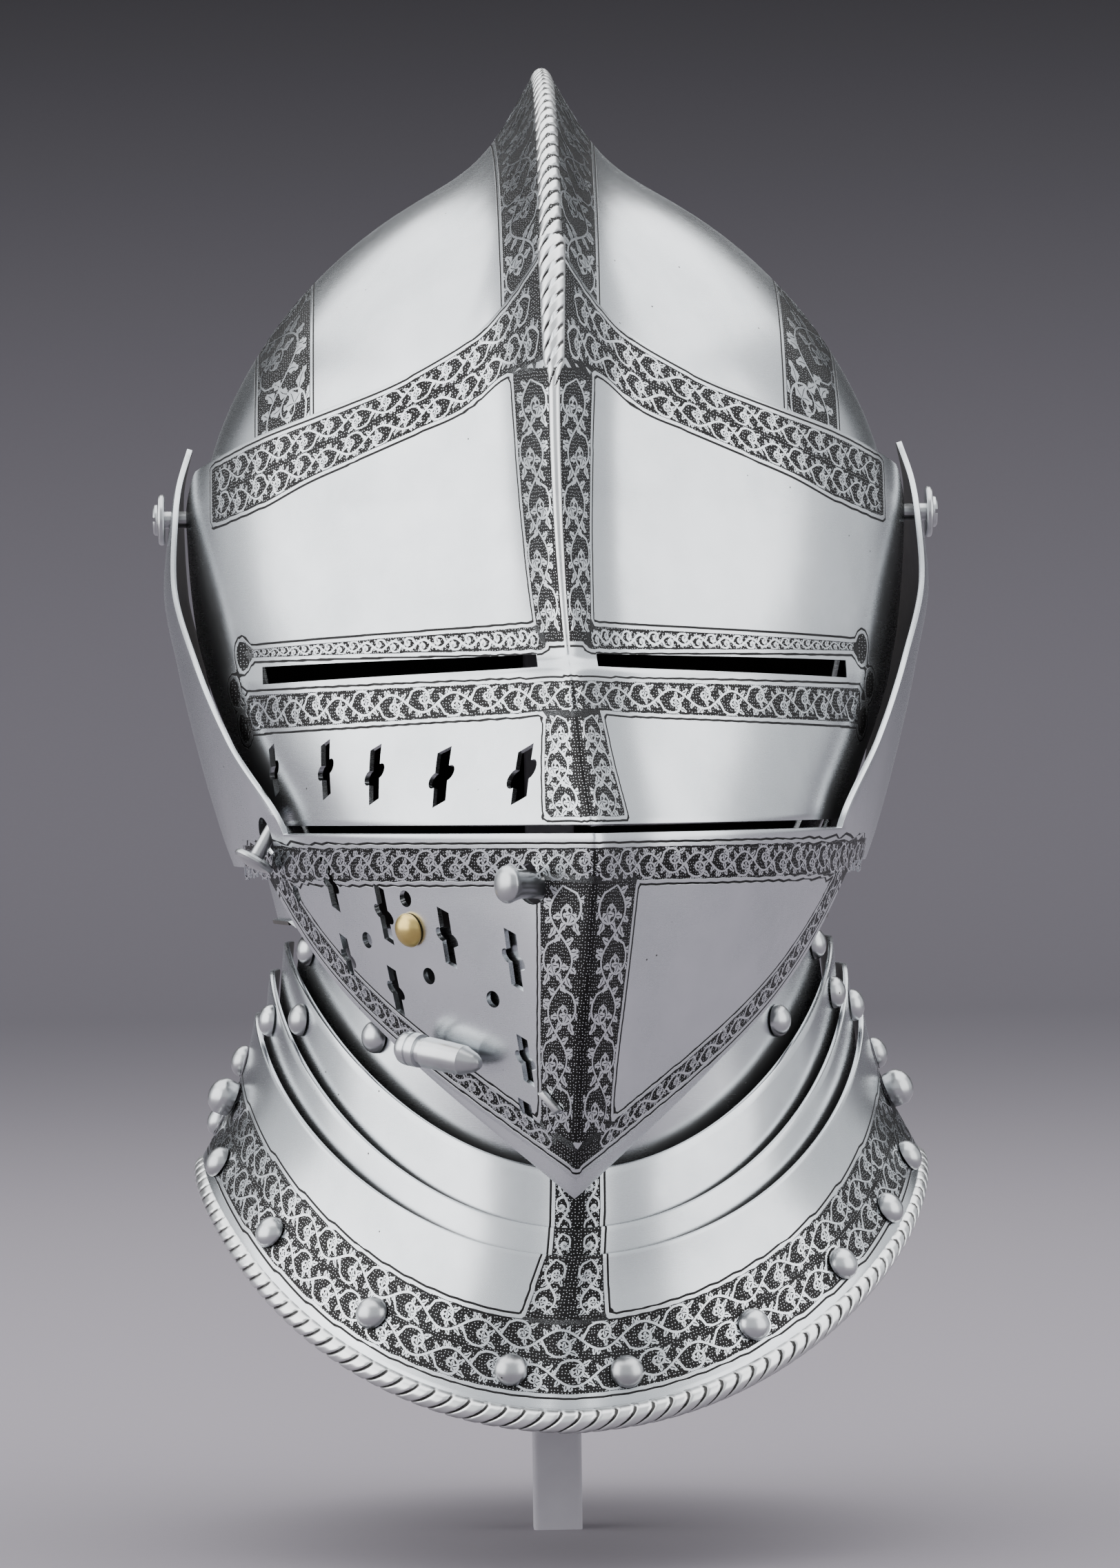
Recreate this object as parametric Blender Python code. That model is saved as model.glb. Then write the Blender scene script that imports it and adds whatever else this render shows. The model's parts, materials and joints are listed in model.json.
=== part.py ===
"""Close helmet of etched steel plates on a plain post stand.

Lengths are in millimetres until a point is placed, then in metres. Every plate is described from the axis of the two
side pivots: x runs to the wearer's left, f forward and z up. The stand's foot is on the floor, under the origin.
"""
import math

import bmesh
import bpy
import numpy as np
from mathutils import Vector

MM = 0.001

# Driving dimensions.
PIVOT_HEIGHT = 277.0        # floor to the pivots' axis
PIVOT_SETBACK = 3.7         # pivots' axis behind the middle of the whole, so that the whole is centred
WALL = 1.5                  # thickness of the plates
GAP = 0.3                   # clearance between pieces that meet
SKULL_HALF_WIDTH = 92.0
SKULL_REACH = 94.5          # bowl's radius about the pivots, without the comb
COMB_HEIGHT = 25.0          # comb above the bowl
COMB_BREADTH = 11.5         # how far the comb's flare spreads to each side
BACK_STRETCH = 1.22         # the back of the skull is this much deeper than a circle about the pivots
ROUNDNESS = 1.7             # power of the plates' pointed oval: 2 would be an ellipse
SKULL_WALL = 1.6
PIVOT_HOLE_RADIUS = 2.7
PIVOT_SHANK_RADIUS = 2.3
RIM_ROLL_RADIUS = 3.0       # turned and roped edge of the gorget
RIVET_RADIUS = 4.3
RIVET_HEIGHT = 3.4

# Visor below the pivots: height, half width, reach of the bowl, reach of the keel beyond it, end of the plate in degrees.
VISOR = (
    (0.0, 96.4, 98.4, 25.3, 90.0),
    (-15.0, 95.6, 101.0, 23.4, 88.5),
    (-31.0, 94.0, 106.0, 21.5, 85.7),
    (-40.0, 92.7, 109.5, 20.0, 81.5),
    (-44.0, 92.2, 114.5, 19.5, 80.0),
    (-53.0, 90.5, 119.0, 18.7, 76.0),
    (-66.0, 87.6, 125.5, 18.5, 70.2),
    (-82.0, 83.5, 132.5, 18.5, 65.0),
)
# Visor's upper edge: distance from the middle, height above the pivots.
VISOR_BROW = (
    (0.0, 68.0), (9.5, 53.5), (17.7, 44.6), (28.6, 37.8), (42.5, 30.9), (59.5, 25.0), (75.6, 19.8), (96.4, 11.0),
)
# Ventail, the upper bevor: height, half width, reach, keel, front and rear end of the side arm in degrees.
VENTAIL = (
    (19.0, 95.8, 137.0, 18.0, 89.0, 91.0),
    (8.0, 99.2, 137.0, 18.0, 85.0, 96.5),
    (0.0, 100.6, 137.0, 18.0, 82.2, 100.5),
    (-19.0, 102.5, 137.0, 18.0, 77.8, 106.4),
    (-40.0, 99.0, 137.0, 18.0, 73.1, 108.6),
    (-60.0, 94.5, 137.0, 18.0, 67.2, 108.0),
    (-85.0, 87.5, 137.0, 18.0, 58.0, 104.7),
    (-100.0, 82.0, 134.5, 17.0, 58.0, 104.7),
    (-120.0, 75.5, 129.5, 16.0, 58.0, 104.7),
    (-140.0, 69.8, 123.0, 15.0, 58.0, 104.7),
    (-158.0, 66.3, 117.0, 14.0, 58.0, 104.7),
    (-171.0, 64.5, 112.0, 13.0, 58.0, 104.7),
)
# Bevor, the chin plate inside the ventail: the same columns.
BEVOR = (
    (7.0, 93.9, 134.0, 17.0, 88.0, 92.0),
    (0.0, 94.0, 134.0, 17.0, 84.6, 94.6),
    (-12.0, 93.4, 134.0, 17.0, 83.0, 94.0),
    (-30.0, 91.0, 134.0, 17.0, 80.5, 91.8),
    (-60.0, 84.6, 134.0, 17.0, 74.5, 89.0),
    (-97.0, 75.5, 132.0, 17.0, 61.5, 88.5),
    (-120.0, 70.0, 126.0, 16.0, 59.0, 88.5),
    (-140.0, 65.6, 119.4, 15.0, 59.0, 88.5),
    (-158.0, 62.2, 113.4, 14.0, 59.0, 88.5),
    (-176.0, 60.2, 106.8, 13.0, 59.0, 88.5),
)
VENTAIL_TOP = -84.2
# The prow is not quite straight: height, how far to the wearer's left it leans where it reaches farthest forward.
SWAY = (
    (60.0, 0.0), (20.0, -0.2), (0.0, 0.2), (-22.0, 1.3), (-40.0, 2.6), (-54.0, 3.75), (-66.0, 4.5), (-82.0, 6.2),
    (-90.0, 6.6), (-108.0, 5.9), (-125.0, 5.0), (-142.0, 4.0), (-167.0, 3.3), (-180.0, 2.9), (-212.0, -1.2),
    (-236.0, -1.8), (-250.0, 0.0),
)
SWAY_REACH = 140.0          # where the lean is full
BEVOR_TOP = -108.0
# Skull below the pivots: share of the way down, width, depth of the back, depth of the comb, depth of the front edge.
SKIRT = (
    (0.0, 1.0, 1.0, 1.0, 1.0),
    (0.25, 0.97, 0.99, 0.86, 0.85),
    (0.5, 0.915, 0.93, 0.62, 0.66),
    (0.75, 0.86, 0.84, 0.36, 0.52),
    (1.0, 0.75, 0.76, 0.16, 0.43),
)
BOWL_COLUMNS = (1.0, 0.93, 0.83, 0.72, 0.61, 0.49, 0.37, 0.27, 0.18, 0.11, 0.05)  # parts of a quarter turn
SKULL_FOOT_SIDE = -92.0
SKULL_FOOT_BACK = -106.0

# Gorget lames, from the throat down: name, then half width, reach, height at the side and height in the middle of the
# upper edge, the same for the lower edge. A fifth figure above 1 makes that edge fall later and faster.
FRONT_LAMES = (
    ("throat_lame_1", (66.8, 94.5, -96.0, -150.0, 1.7), (71.8, 89.5, -133.0, -180.0)),
    ("throat_lame_2", (73.5, 98.2, -113.5, -169.7, 1.5), (75.6, 99.8, -138.0, -194.0, 1.1)),
    ("throat_lame_3", (77.4, 102.2, -121.0, -184.3, 1.25), (80.2, 104.2, -149.0, -203.0, 1.2)),
)
FRONT_PLATE = ((81.4, 106.6, -132.5, -191.0, 1.22), (96.0, 117.0, -170.5, -228.8, 1.4))
BACK_LAMES = (
    ("nape_lame_1", (62.6, 82.5, -84.0, -98.0), (65.0, 86.0, -130.0, -128.0)),
    ("nape_lame_2", (67.4, 89.5, -128.0, -122.0), (69.4, 92.5, -138.6, -146.0)),
    ("nape_lame_3", (73.6, 95.5, -140.4, -139.0), (75.2, 100.0, -150.0, -161.0)),
)
BACK_PLATE = ((78.4, 103.5, -150.4, -153.5), (88.2, 112.0, -167.0, -206.0, 1.5))
FRONT_SPAN = 100.0          # degrees from the middle of a front lame to its end
BACK_SPAN = 87.0            # the same for the back, which ends inside the front
GORGET_ASIDE = 2.0          # the gorget sits this far to the wearer's left
MIDDLE_PINCH = 2.2          # crease in the middle of every lame
PLATE_HOLLOW = -2.4         # how far a bottom plate is hollowed between its edges
BACK_ROLL_END = 77.0        # degrees from the middle of the back where the front plate starts to cover it

# Rivets of the gorget: plate's name, degrees from the middle, share of the way down.
FRONT_RIVETS = (
    ("front_gorget_plate", -9.3, 0.78), ("front_gorget_plate", -33.7, 0.74), ("front_gorget_plate", -57.6, 0.79),
    ("front_gorget_plate", -78.4, 0.85), ("front_gorget_plate", -91.0, 0.76), ("front_gorget_plate", -90.0, 0.34),
    ("front_gorget_plate", 9.0, 0.8), ("front_gorget_plate", 30.6, 0.79), ("front_gorget_plate", 49.2, 0.83),
    ("front_gorget_plate", 63.9, 0.86), ("front_gorget_plate", 78.0, 0.86), ("front_gorget_plate", 90.0, 0.34),
    ("throat_lame_3", -79.7, 0.2), ("throat_lame_3", 82.0, 0.2), ("throat_lame_2", -68.4, 0.24),
    ("throat_lame_2", 74.0, 0.22), ("throat_lame_1", -75.8, 0.34), ("throat_lame_1", -47.0, 0.31),
    ("throat_lame_1", 51.8, 0.34), ("throat_lame_1", 75.8, 0.34),
)
BACK_RIVETS = (
    ("back_gorget_plate", -76.0, 0.8), ("back_gorget_plate", -57.0, 0.84), ("back_gorget_plate", -34.0, 0.84),
    ("back_gorget_plate", -11.0, 0.84), ("back_gorget_plate", 11.0, 0.84), ("back_gorget_plate", 34.0, 0.84),
    ("back_gorget_plate", 57.0, 0.84), ("back_gorget_plate", 76.0, 0.8),
)

# Breaths: distance from the middle (the wearer's right is negative), height, width, length.
VISOR_BREATHS = (
    (-73.8, -67.5, 5.0, 12.5), (-61.0, -67.6, 5.5, 14.0), (-49.2, -69.0, 5.5, 14.0), (-33.1, -69.8, 5.8, 14.0),
    (-13.8, -69.4, 7.2, 13.5),
)
VENTAIL_BREATHS = (
    (-60.9, -96.9, 5.2, 13.5), (-48.0, -104.5, 5.2, 14.5), (-32.9, -110.3, 5.2, 14.5), (-17.0, -115.6, 5.4, 14.5),
    (-56.0, -116.1, 4.8, 12.0), (-44.4, -124.0, 4.8, 12.0), (-12.8, -141.0, 5.0, 12.0),
)
VENTAIL_HOLES = ((-68.8, -99.6), (-43.1, -100.5), (-51.7, -111.2), (-36.7, -120.1), (-21.3, -125.7))
SHORT_BREATH = (-12.3, -153.7, 4.4, 4.8)    # the last one, cut short by the edge
BREATH_HOLE_RADIUS = 2.2
BREATH_SLANT = 0.45         # fall of a slot's ends towards the wearer's left; the visor's rise as much

# Fittings: the plate's table, distance from the middle, height, then its lean across and up from the face's normal.
PEG_ROOT = (VISOR, -73.0, -79.8, -0.15, -1.2)
BUTTON_ROOT = (VENTAIL, -14.0, -96.7, -0.22, 0.15)
SPRING_RIVET_AT = (-41.5, -108.3)
KNOB_AT = (-36.5, -136.5)
KNOB_LIFT = 7.2             # the knob's axis above the plate at its outer end
KNOB_LIE = (0.93, -0.2, -0.18)      # the way the knob points, across, up and out of the plate
NOSE_AT = (-6.4, -151.1)
# Turned pieces: distance along the axis, radius.
PEG_PROFILE = ((GAP + 2.5, 1.9), (11.7, 1.9), (12.1, 5.2), (13.3, 5.6), (14.4, 4.4), (14.9, 1.6))
BUTTON_PROFILE = ((-4.6, 4.4), (-3.4, 4.4), (-3.4, 3.8), (3.0, 3.6), (6.5, 4.8), (8.2, 4.4), (9.4, 1.2))
SPRING_RIVET_PROFILE = ((GAP, 4.4), (1.3, 4.4), (2.9, 3.0), (3.5, 1.0))
KNOB_PROFILE = (
    (-2.0, 1.4), (-1.2, 3.2), (0.9, 4.3), (5.2, 4.3), (5.6, 3.4), (6.7, 3.4), (7.0, 4.0), (19.0, 3.7), (22.4, 2.4),
    (24.2, 0.6),
)
STUD_PROFILE = ((GAP + 0.3, 4.6), (2.2, 4.9), (4.6, 4.9), (6.6, 3.4), (7.4, 1.4))
STUD_AT = (86.0, 0.56)      # degrees from the middle of the front plate, share of the way down
PIVOT_PROFILE = (
    (87.8, 5.0), (89.3, 5.0), (89.3, PIVOT_SHANK_RADIUS), (102.1, PIVOT_SHANK_RADIUS), (102.1, 6.8), (103.6, 6.8),
    (103.8, 4.2), (105.2, 3.6),
)
NOSE_OUTLINE = ((-3.6, 2.4), (1.6, -3.0), (3.9, -2.0), (-1.4, 3.0))
FITTING_SIDES = 12
RIVET_SIDES = 8

# The sights: distance from the middle, upper edge, lower edge at their inner and their outer end.
SIGHT_NEAR = (7.5, -39.4, -42.7)
SIGHT_FAR = (76.0, -40.6, -45.2)

# The stand.
FOOT_RADIUS = 86.0
FOOT_THICKNESS = 5.0
POST_HALF = 6.5
PAD_TOP = 86.0              # height of the pad under the crown, above the pivots
STAND_SIDES = 24

STEEL = dict(colour=(0.60, 0.61, 0.61), metallic=1.0, roughness=0.3)
BRASS = dict(colour=(0.62, 0.46, 0.18), metallic=1.0, roughness=0.3)
PAINT = dict(colour=(0.36, 0.34, 0.37), metallic=0.0, roughness=0.6)


def clear_scene():
    for old in list(bpy.data.objects):
        bpy.data.objects.remove(old, do_unlink=True)


def material(name, look):
    made = bpy.data.materials.new(name)
    made.use_nodes = True
    shader = made.node_tree.nodes["Principled BSDF"]
    shader.inputs["Base Color"].default_value = (*look["colour"], 1.0)
    shader.inputs["Metallic"].default_value = look["metallic"]
    shader.inputs["Roughness"].default_value = look["roughness"]
    return made


def body_empty(name, parent=None):
    """An empty on the pivots' axis, which carries the pieces of one moving body."""
    empty = bpy.data.objects.new(name, None)
    bpy.context.scene.collection.objects.link(empty)
    if parent is None:
        empty.location = Vector((0.0, PIVOT_SETBACK, PIVOT_HEIGHT)) * MM
    empty.parent = parent
    return empty


def place(x, f, z):
    """A point given from the pivots' axis, in metres, with the face looking along -Y and the prow leaning aside."""
    sway = read_table(SWAY, z)[0] * (max(f, 0.0) / SWAY_REACH) ** 1.5
    return Vector((x + sway, -f, z)) * MM


def read_table(table, key):
    """Every column of a table at one value of its first column, on smooth curves that never overshoot."""
    rows = sorted(table)
    places = np.array([row[0] for row in rows])
    step = np.diff(places)
    key = min(max(key, places[0]), places[-1])
    i = int(np.clip(np.searchsorted(places, key) - 1, 0, len(step) - 1))
    t = (key - places[i]) / step[i]
    columns = []
    for column in range(1, len(rows[0])):
        values = np.array([row[column] for row in rows])
        rise = np.diff(values) / step
        slope = np.zeros(len(values))
        slope[0], slope[-1] = rise[0], rise[-1]
        for k in range(1, len(rise)):
            if rise[k - 1] * rise[k] > 0:
                slope[k] = 2 * rise[k - 1] * rise[k] / (rise[k - 1] + rise[k])
        columns.append(
            (2 * t ** 3 - 3 * t ** 2 + 1) * values[i] + (t ** 3 - 2 * t ** 2 + t) * step[i] * slope[i]
            + (3 * t ** 2 - 2 * t ** 3) * values[i + 1] + (t ** 3 - t ** 2) * step[i] * slope[i + 1]
        )
    return columns


def keel(x, height):
    """The sharp ridge down the middle, as high as its height and spreading to each side."""
    return height * math.exp(-(abs(x) / COMB_BREADTH) ** 1.5)


def oval(angle, half_width, reach, back_reach=110.0, roundness=ROUNDNESS):
    """A point of the pointed oval of a plate, at an angle from the middle of the face."""
    turn = math.radians(min(abs(angle), 180.0))
    side = math.copysign(1.0, angle)
    if abs(angle) <= 90.0:
        power = 2.0 / roundness
        return side * half_width * math.sin(turn) ** power, reach * max(math.cos(turn), 0.0) ** power
    return side * half_width * math.sin(turn), back_reach * math.cos(turn)


def oval_angle(x, half_width):
    """The angle at which the oval is as far as x from the middle."""
    return math.degrees(math.asin(min(abs(x) / half_width, 1.0) ** (ROUNDNESS / 2.0)))


def mesh_object(name, points, faces, finish, body):
    """An object from points and faces, with doubled points joined, smooth between its sharp edges."""
    mesh = bpy.data.meshes.new(name)
    shape = bmesh.new()
    corners = [shape.verts.new(p) for p in points]
    for face in faces:
        shape.faces.new([corners[i] for i in face])
    bmesh.ops.remove_doubles(shape, verts=shape.verts, dist=1e-6)
    bmesh.ops.dissolve_degenerate(shape, edges=shape.edges, dist=1e-7)
    if all(edge.is_manifold for edge in shape.edges):
        bmesh.ops.recalc_face_normals(shape, faces=shape.faces)
    shape.to_mesh(mesh)
    shape.free()
    mesh.shade_smooth()
    mesh.set_sharp_from_angle(angle=math.radians(40))
    made = bpy.data.objects.new(name, mesh)
    made.parent = body
    made.data.materials.append(finish)
    bpy.context.scene.collection.objects.link(made)
    return made


def grid_faces(rows, columns, start=0):
    """Four-sided faces of a grid whose points run along the columns of each row, facing out for a front seen from -Y."""
    return [
        (start + r * columns + c, start + (r + 1) * columns + c, start + (r + 1) * columns + c + 1,
         start + r * columns + c + 1)
        for r in range(rows - 1) for c in range(columns - 1)
    ]


def beat_out(plate, wall=WALL):
    """Gives a plate its thickness inwards from its outer face."""
    thick = plate.modifiers.new("thickness", "SOLIDIFY")
    thick.thickness = wall * MM
    thick.offset = -1.0
    thick.use_even_offset = False
    return plate


def cut(plate, cutter):
    """Cuts a hidden tool's shape out of a plate."""
    cutter.hide_render = True
    cutter.display_type = "WIRE"
    hole = plate.modifiers.new(cutter.name, "BOOLEAN")
    hole.operation = "DIFFERENCE"
    hole.solver = "EXACT"
    hole.object = cutter


def join_on(plate, addition):
    """Welds a hidden form on to a plate."""
    addition.hide_render = True
    addition.display_type = "WIRE"
    weld = plate.modifiers.new(addition.name, "BOOLEAN")
    weld.operation = "UNION"
    weld.solver = "EXACT"
    weld.object = addition


def skull_point(angle, turn):
    """A point of the bowl above the pivots, turned about their axis from the brow at 0 to the back at 180 degrees."""
    x, reach = oval(angle, SKULL_HALF_WIDTH, SKULL_REACH)
    radius = reach + keel(x, COMB_HEIGHT) * min(1.0, reach / 20.0)
    share = min(max((turn - 100.0) / 80.0, 0.0), 1.0)
    stretch = 1.0 + (BACK_STRETCH - 1.0) * share * share * (3.0 - 2.0 * share)
    f = radius * math.cos(math.radians(turn))
    return place(x, f * (stretch if f < 0 else 1.0), radius * math.sin(math.radians(turn)))


def skirt_point(angle, at_back, down):
    """A point of the skull below the pivots, behind them or on the cheek in front of them."""
    wide, deep, ridge, front = read_table(SKIRT, down)
    x, reach = oval(angle, SKULL_HALF_WIDTH, SKULL_REACH, roundness=ROUNDNESS + (2.0 - ROUNDNESS) * down)
    if not at_back:
        return place(x * wide, reach * front, down * SKULL_FOOT_SIDE)
    ridge_reach = keel(x, COMB_HEIGHT) * min(1.0, reach / 20.0)
    foot = SKULL_FOOT_SIDE + (SKULL_FOOT_BACK - SKULL_FOOT_SIDE) * reach / SKULL_REACH
    return place(x * wide, -BACK_STRETCH * (reach * deep + ridge_reach * ridge), down * foot)


def build_skull(steel, body):
    """The skull with its comb, one piece, open at the face and below."""
    half = [90.0 * share for share in BOWL_COLUMNS]
    across = [-a for a in half] + [0.0] + [a for a in reversed(half)]
    turns = [15.0 * i for i in range(13)]
    cheek = 0.72 * 90.0
    brow_turn = 5.0
    points = []
    for turn in turns:
        for angle in across:
            start = brow_turn * (1.0 - min(1.0, abs(angle) / cheek) ** 4)
            points.append(skull_point(angle, start + turn * (180.0 - start) / 180.0))
    faces = [tuple(reversed(face)) for face in grid_faces(len(turns), len(across))]
    cheek_angles = [a for a in half if a >= cheek]
    ring = [(-a, False) for a in reversed(cheek_angles)] + [(a, True) for a in across]
    ring += [(a, False) for a in cheek_angles]
    downs = (0.0, 0.17, 0.36, 0.57, 0.78, 1.0)
    start = len(points)
    for down in downs:
        points += [skirt_point(angle, at_back, down) for angle, at_back in ring]
    faces += [tuple(reversed(face)) for face in grid_faces(len(downs), len(ring), start)]
    skull = mesh_object("skull", points, faces, steel, body)
    beat_out(skull, SKULL_WALL)
    cut(skull, pivot_drill("skull_drill", steel, body))
    return skull


def pivot_drill(name, finish, body):
    """Two long round tools on the pivots' axis."""
    points, faces = [], []
    for side in (-1, 1):
        start = len(points)
        ring = [2 * math.pi * i / 12 for i in range(12)]
        for x in (80.0, 112.0):
            points += [place(side * x, PIVOT_HOLE_RADIUS * math.cos(t), PIVOT_HOLE_RADIUS * math.sin(t)) for t in ring]
        faces += closed_loft(start, 2, 12)
    return mesh_object(name, points, faces, finish, body)


def closed_loft(start, loops, count):
    """Faces of a closed body through loops of points, with a flat face at each end."""
    faces = []
    for loop in range(loops - 1):
        for i in range(count):
            a = start + loop * count + i
            b = start + loop * count + (i + 1) % count
            faces.append((a, b, b + count, a + count))
    faces.append(tuple(start + i for i in reversed(range(count))))
    faces.append(tuple(start + (loops - 1) * count + i for i in range(count)))
    return faces


def visor_point(angle_share, height):
    """A point of the visor below the pivots, its end angle shrinking as it goes down."""
    half_width, reach, ridge, end = read_table(VISOR, height)
    x, f = oval(angle_share * end, half_width, reach)
    return place(x, f + keel(x, ridge), height)


def build_visor(steel, body):
    """The visor: turned about the pivots above them, a pointed prow below, cut for the sights and breaths."""
    shares = [-s for s in BOWL_COLUMNS] + [0.0] + [s for s in reversed(BOWL_COLUMNS)]
    points = []
    brow_rows = (1.0, 0.67, 0.33)
    for rise in brow_rows:
        for share in shares:
            half_width, reach, ridge, end = read_table(VISOR, 0.0)
            x, radius = oval(share * end, half_width, reach)
            radius += keel(x, ridge)
            brow = read_table(VISOR_BROW, abs(x))[0]
            top = math.asin(min(brow / max(radius, 1e-6), 0.75))
            points.append(place(x, radius * math.cos(top * rise), radius * math.sin(top * rise)))
    heights = (0.0, -20.0, -40.0, -44.0, -62.0, -82.0)
    for height in heights:
        points += [visor_point(share, height) for share in shares]
    rows = len(brow_rows) + len(heights)
    visor = mesh_object("visor", points, grid_faces(rows, len(shares)), steel, body)
    beat_out(visor)
    join_on(visor, pivot_eyes("visor_eyes", 94.9, 96.4, 8.0, steel, body))
    cut(visor, pivot_drill("visor_drill", steel, body))
    cut(visor, sight_saw(steel, body))
    cut(visor, visor_breaths(steel, body))
    return visor


def pivot_eyes(name, inner, outer, radius, finish, body):
    """The round ends of a plate's arms, about the pivots."""
    points, faces = [], []
    for side in (-1, 1):
        start = len(points)
        ring = [2 * math.pi * i / 12 for i in range(12)]
        for x in (inner, outer):
            points += [place(side * x, radius * math.cos(t), radius * math.sin(t)) for t in ring]
        faces += closed_loft(start, 2, 12)
    return mesh_object(name, points, faces, finish, body)


def sight_saw(finish, body):
    """The tools that open the two sights, each a narrow curved slab."""
    points, faces = [], []
    steps = 10
    for side in (-1, 1):
        start = len(points)
        for i in range(steps + 1):
            x, top, bottom = (near + (far - near) * i / steps for near, far in zip(SIGHT_NEAR, SIGHT_FAR))
            half_width, reach, ridge, _ = read_table(VISOR, (top + bottom) / 2)
            _, f = oval(oval_angle(x, half_width), half_width, reach)
            f += keel(x, ridge)
            inner, outer = f - 12.0, f + 12.0
            for depth, height in ((inner, bottom), (outer, bottom), (outer, top), (inner, top)):
                points.append(place(side * x, depth, height))
        faces += closed_loft(start, steps + 1, 4)
    return mesh_object("sight_saw", points, faces, finish, body)


def face_frame(table, x, z):
    """The point, the direction across, the direction up and the outward normal of a plate's face at x and z."""
    def at(px, pz):
        half_width, reach, ridge = read_table(table, pz)[:3]
        _, f = oval(oval_angle(px, half_width), half_width, reach)
        return place(px, f + keel(px, ridge), pz)

    point = at(x, z)
    across = (at(x + 0.5, z) - at(x - 0.5, z)).normalized()
    up = (at(x, z + 0.5) - at(x, z - 0.5)).normalized()
    normal = across.cross(up).normalized()
    return point, across, normal.cross(across), normal


def breath_outline(width, length, slant=BREATH_SLANT):
    """A slanted slot with a round lobe in the middle of each long side, as pairs of across and up."""
    half, tall = width * 0.4, length / 2
    lobe = width * 0.3
    right = [(half, -tall), (half, -lobe), (half + lobe, -lobe * 0.4), (half + lobe, lobe * 0.6), (half, lobe),
             (half, tall)]
    outline = right + [(-x, -z) for x, z in right]
    return [(x, z - slant * x) for x, z in outline]


def punch(name, table, places, finish, body):
    """The punches that pierce one plate, from places on its face and the outlines of their points."""
    points, faces = [], []
    for x, z, outline in places:
        start = len(points)
        point, across, up, normal = face_frame(table, x, z)
        for depth in (-7.0, 6.0):
            points.extend(point + (across * a + up * b + normal * depth) * MM for a, b in outline)
        faces.extend(closed_loft(start, 2, len(outline)))
    return mesh_object(name, points, faces, finish, body)


def visor_breaths(finish, body):
    places = [(x, z, breath_outline(width, length, -BREATH_SLANT)) for x, z, width, length in VISOR_BREATHS]
    return punch("visor_breaths", VISOR, places, finish, body)


def ventail_breaths(finish, body):
    """The ventail's lobed slots, its round holes and the last slot, a slanted square."""
    places = [(x, z, breath_outline(width, length)) for x, z, width, length in VENTAIL_BREATHS]
    ring = [2 * math.pi * i / 10 for i in range(10)]
    hole = [(BREATH_HOLE_RADIUS * math.cos(t), BREATH_HOLE_RADIUS * math.sin(t)) for t in ring]
    places += [(x, z, hole) for x, z in VENTAIL_HOLES]
    x, z, width, length = SHORT_BREATH
    corners = ((-1, -1), (1, -1), (1, 1), (-1, 1))
    square = [(a * width / 2, b * length / 2 - BREATH_SLANT * a * width / 2) for a, b in corners]
    return punch("ventail_breaths", VENTAIL, places + [(x, z, square)], finish, body)


def edge_below(slope, curl, curl_at, middle, limit):
    """A lower edge that rises from its middle at a slope and curls up faster towards the side, up to a limit."""
    def edge(x):
        return min(middle + slope * abs(x) + curl * (abs(x) / curl_at) ** 5, limit)
    return edge


def faceplate(name, table, top, edge, shares, corner, finish, body):
    """A plate round the lower face: a front between its top and its lower edge, and two arms up to the pivots.

    shares are the columns as parts of the half turn; those past the corner carry on up into the arm."""
    half = [s for s in shares if s > 0]
    columns = [-s for s in reversed(half)] + [0.0] + half
    rear_end = read_table(table, top)[-1]

    def angle_of(share, height):
        """Columns past the corner lie between the arm's two edges at that height."""
        front, rear = read_table(table, height)[-2:]
        share_abs = abs(share)
        if height <= top or share_abs < corner:
            return share * rear_end
        return math.copysign(front + (rear - front) * (share_abs - corner) / (1.0 - corner), share)

    def point(angle, height):
        half_width, reach, ridge = read_table(table, height)[:3]
        x, f = oval(angle, half_width, reach)
        return place(x, f + keel(x, ridge), height)

    def low(angle):
        height = top - 30.0
        for _ in range(12):
            x, _ = oval(angle, read_table(table, height)[0], 1.0)
            height = edge(x)
        return height

    points = []
    falls = (0.0, 0.17, 0.4, 0.65, 0.87, 1.0)
    for fall in falls:
        for share in columns:
            angle = share * rear_end
            points.append(point(angle, top + (low(angle) - top) * fall))
    faces = grid_faces(len(falls), len(columns))
    summit = max(row[0] for row in table)
    rises = (0.0, 0.25, 0.5, 0.72, 0.88, 1.0)
    for side in (-1, 1):
        arm = sorted(side * s for s in half if s >= corner)
        start = len(points)
        for rise in reversed(rises):
            height = top + (summit - top) * rise
            for share in arm:
                points.append(point(angle_of(share, height) if rise else share * rear_end, height))
        faces += grid_faces(len(rises), len(arm), start)
    return mesh_object(name, points, faces, finish, body)


def build_ventail(steel, body):
    """The ventail: the pierced plate over mouth and chin, whose broad pointed arms lie outside the visor."""
    corner = 58.0 / 104.7
    shares = (0.035, 0.08, 0.15, 0.24, 0.34, 0.44, corner, 0.67, 0.78, 0.89, 1.0)
    edge = edge_below(slope=0.72, curl=18.7, curl_at=74.0, middle=-171.0, limit=-93.0)
    ventail = faceplate("ventail", VENTAIL, VENTAIL_TOP, edge, shares, corner, steel, body)
    beat_out(ventail)
    cut(ventail, pivot_drill("ventail_drill", steel, body))
    cut(ventail, ventail_breaths(steel, body))
    cut(ventail, rod("peg_notch", *PEG_ROOT, -4.0, 14.0, 4.2, 10, steel, body))
    cut(ventail, rod("button_hole", *BUTTON_ROOT, -6.0, 6.0, 5.2, 12, steel, body))
    return ventail


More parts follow.
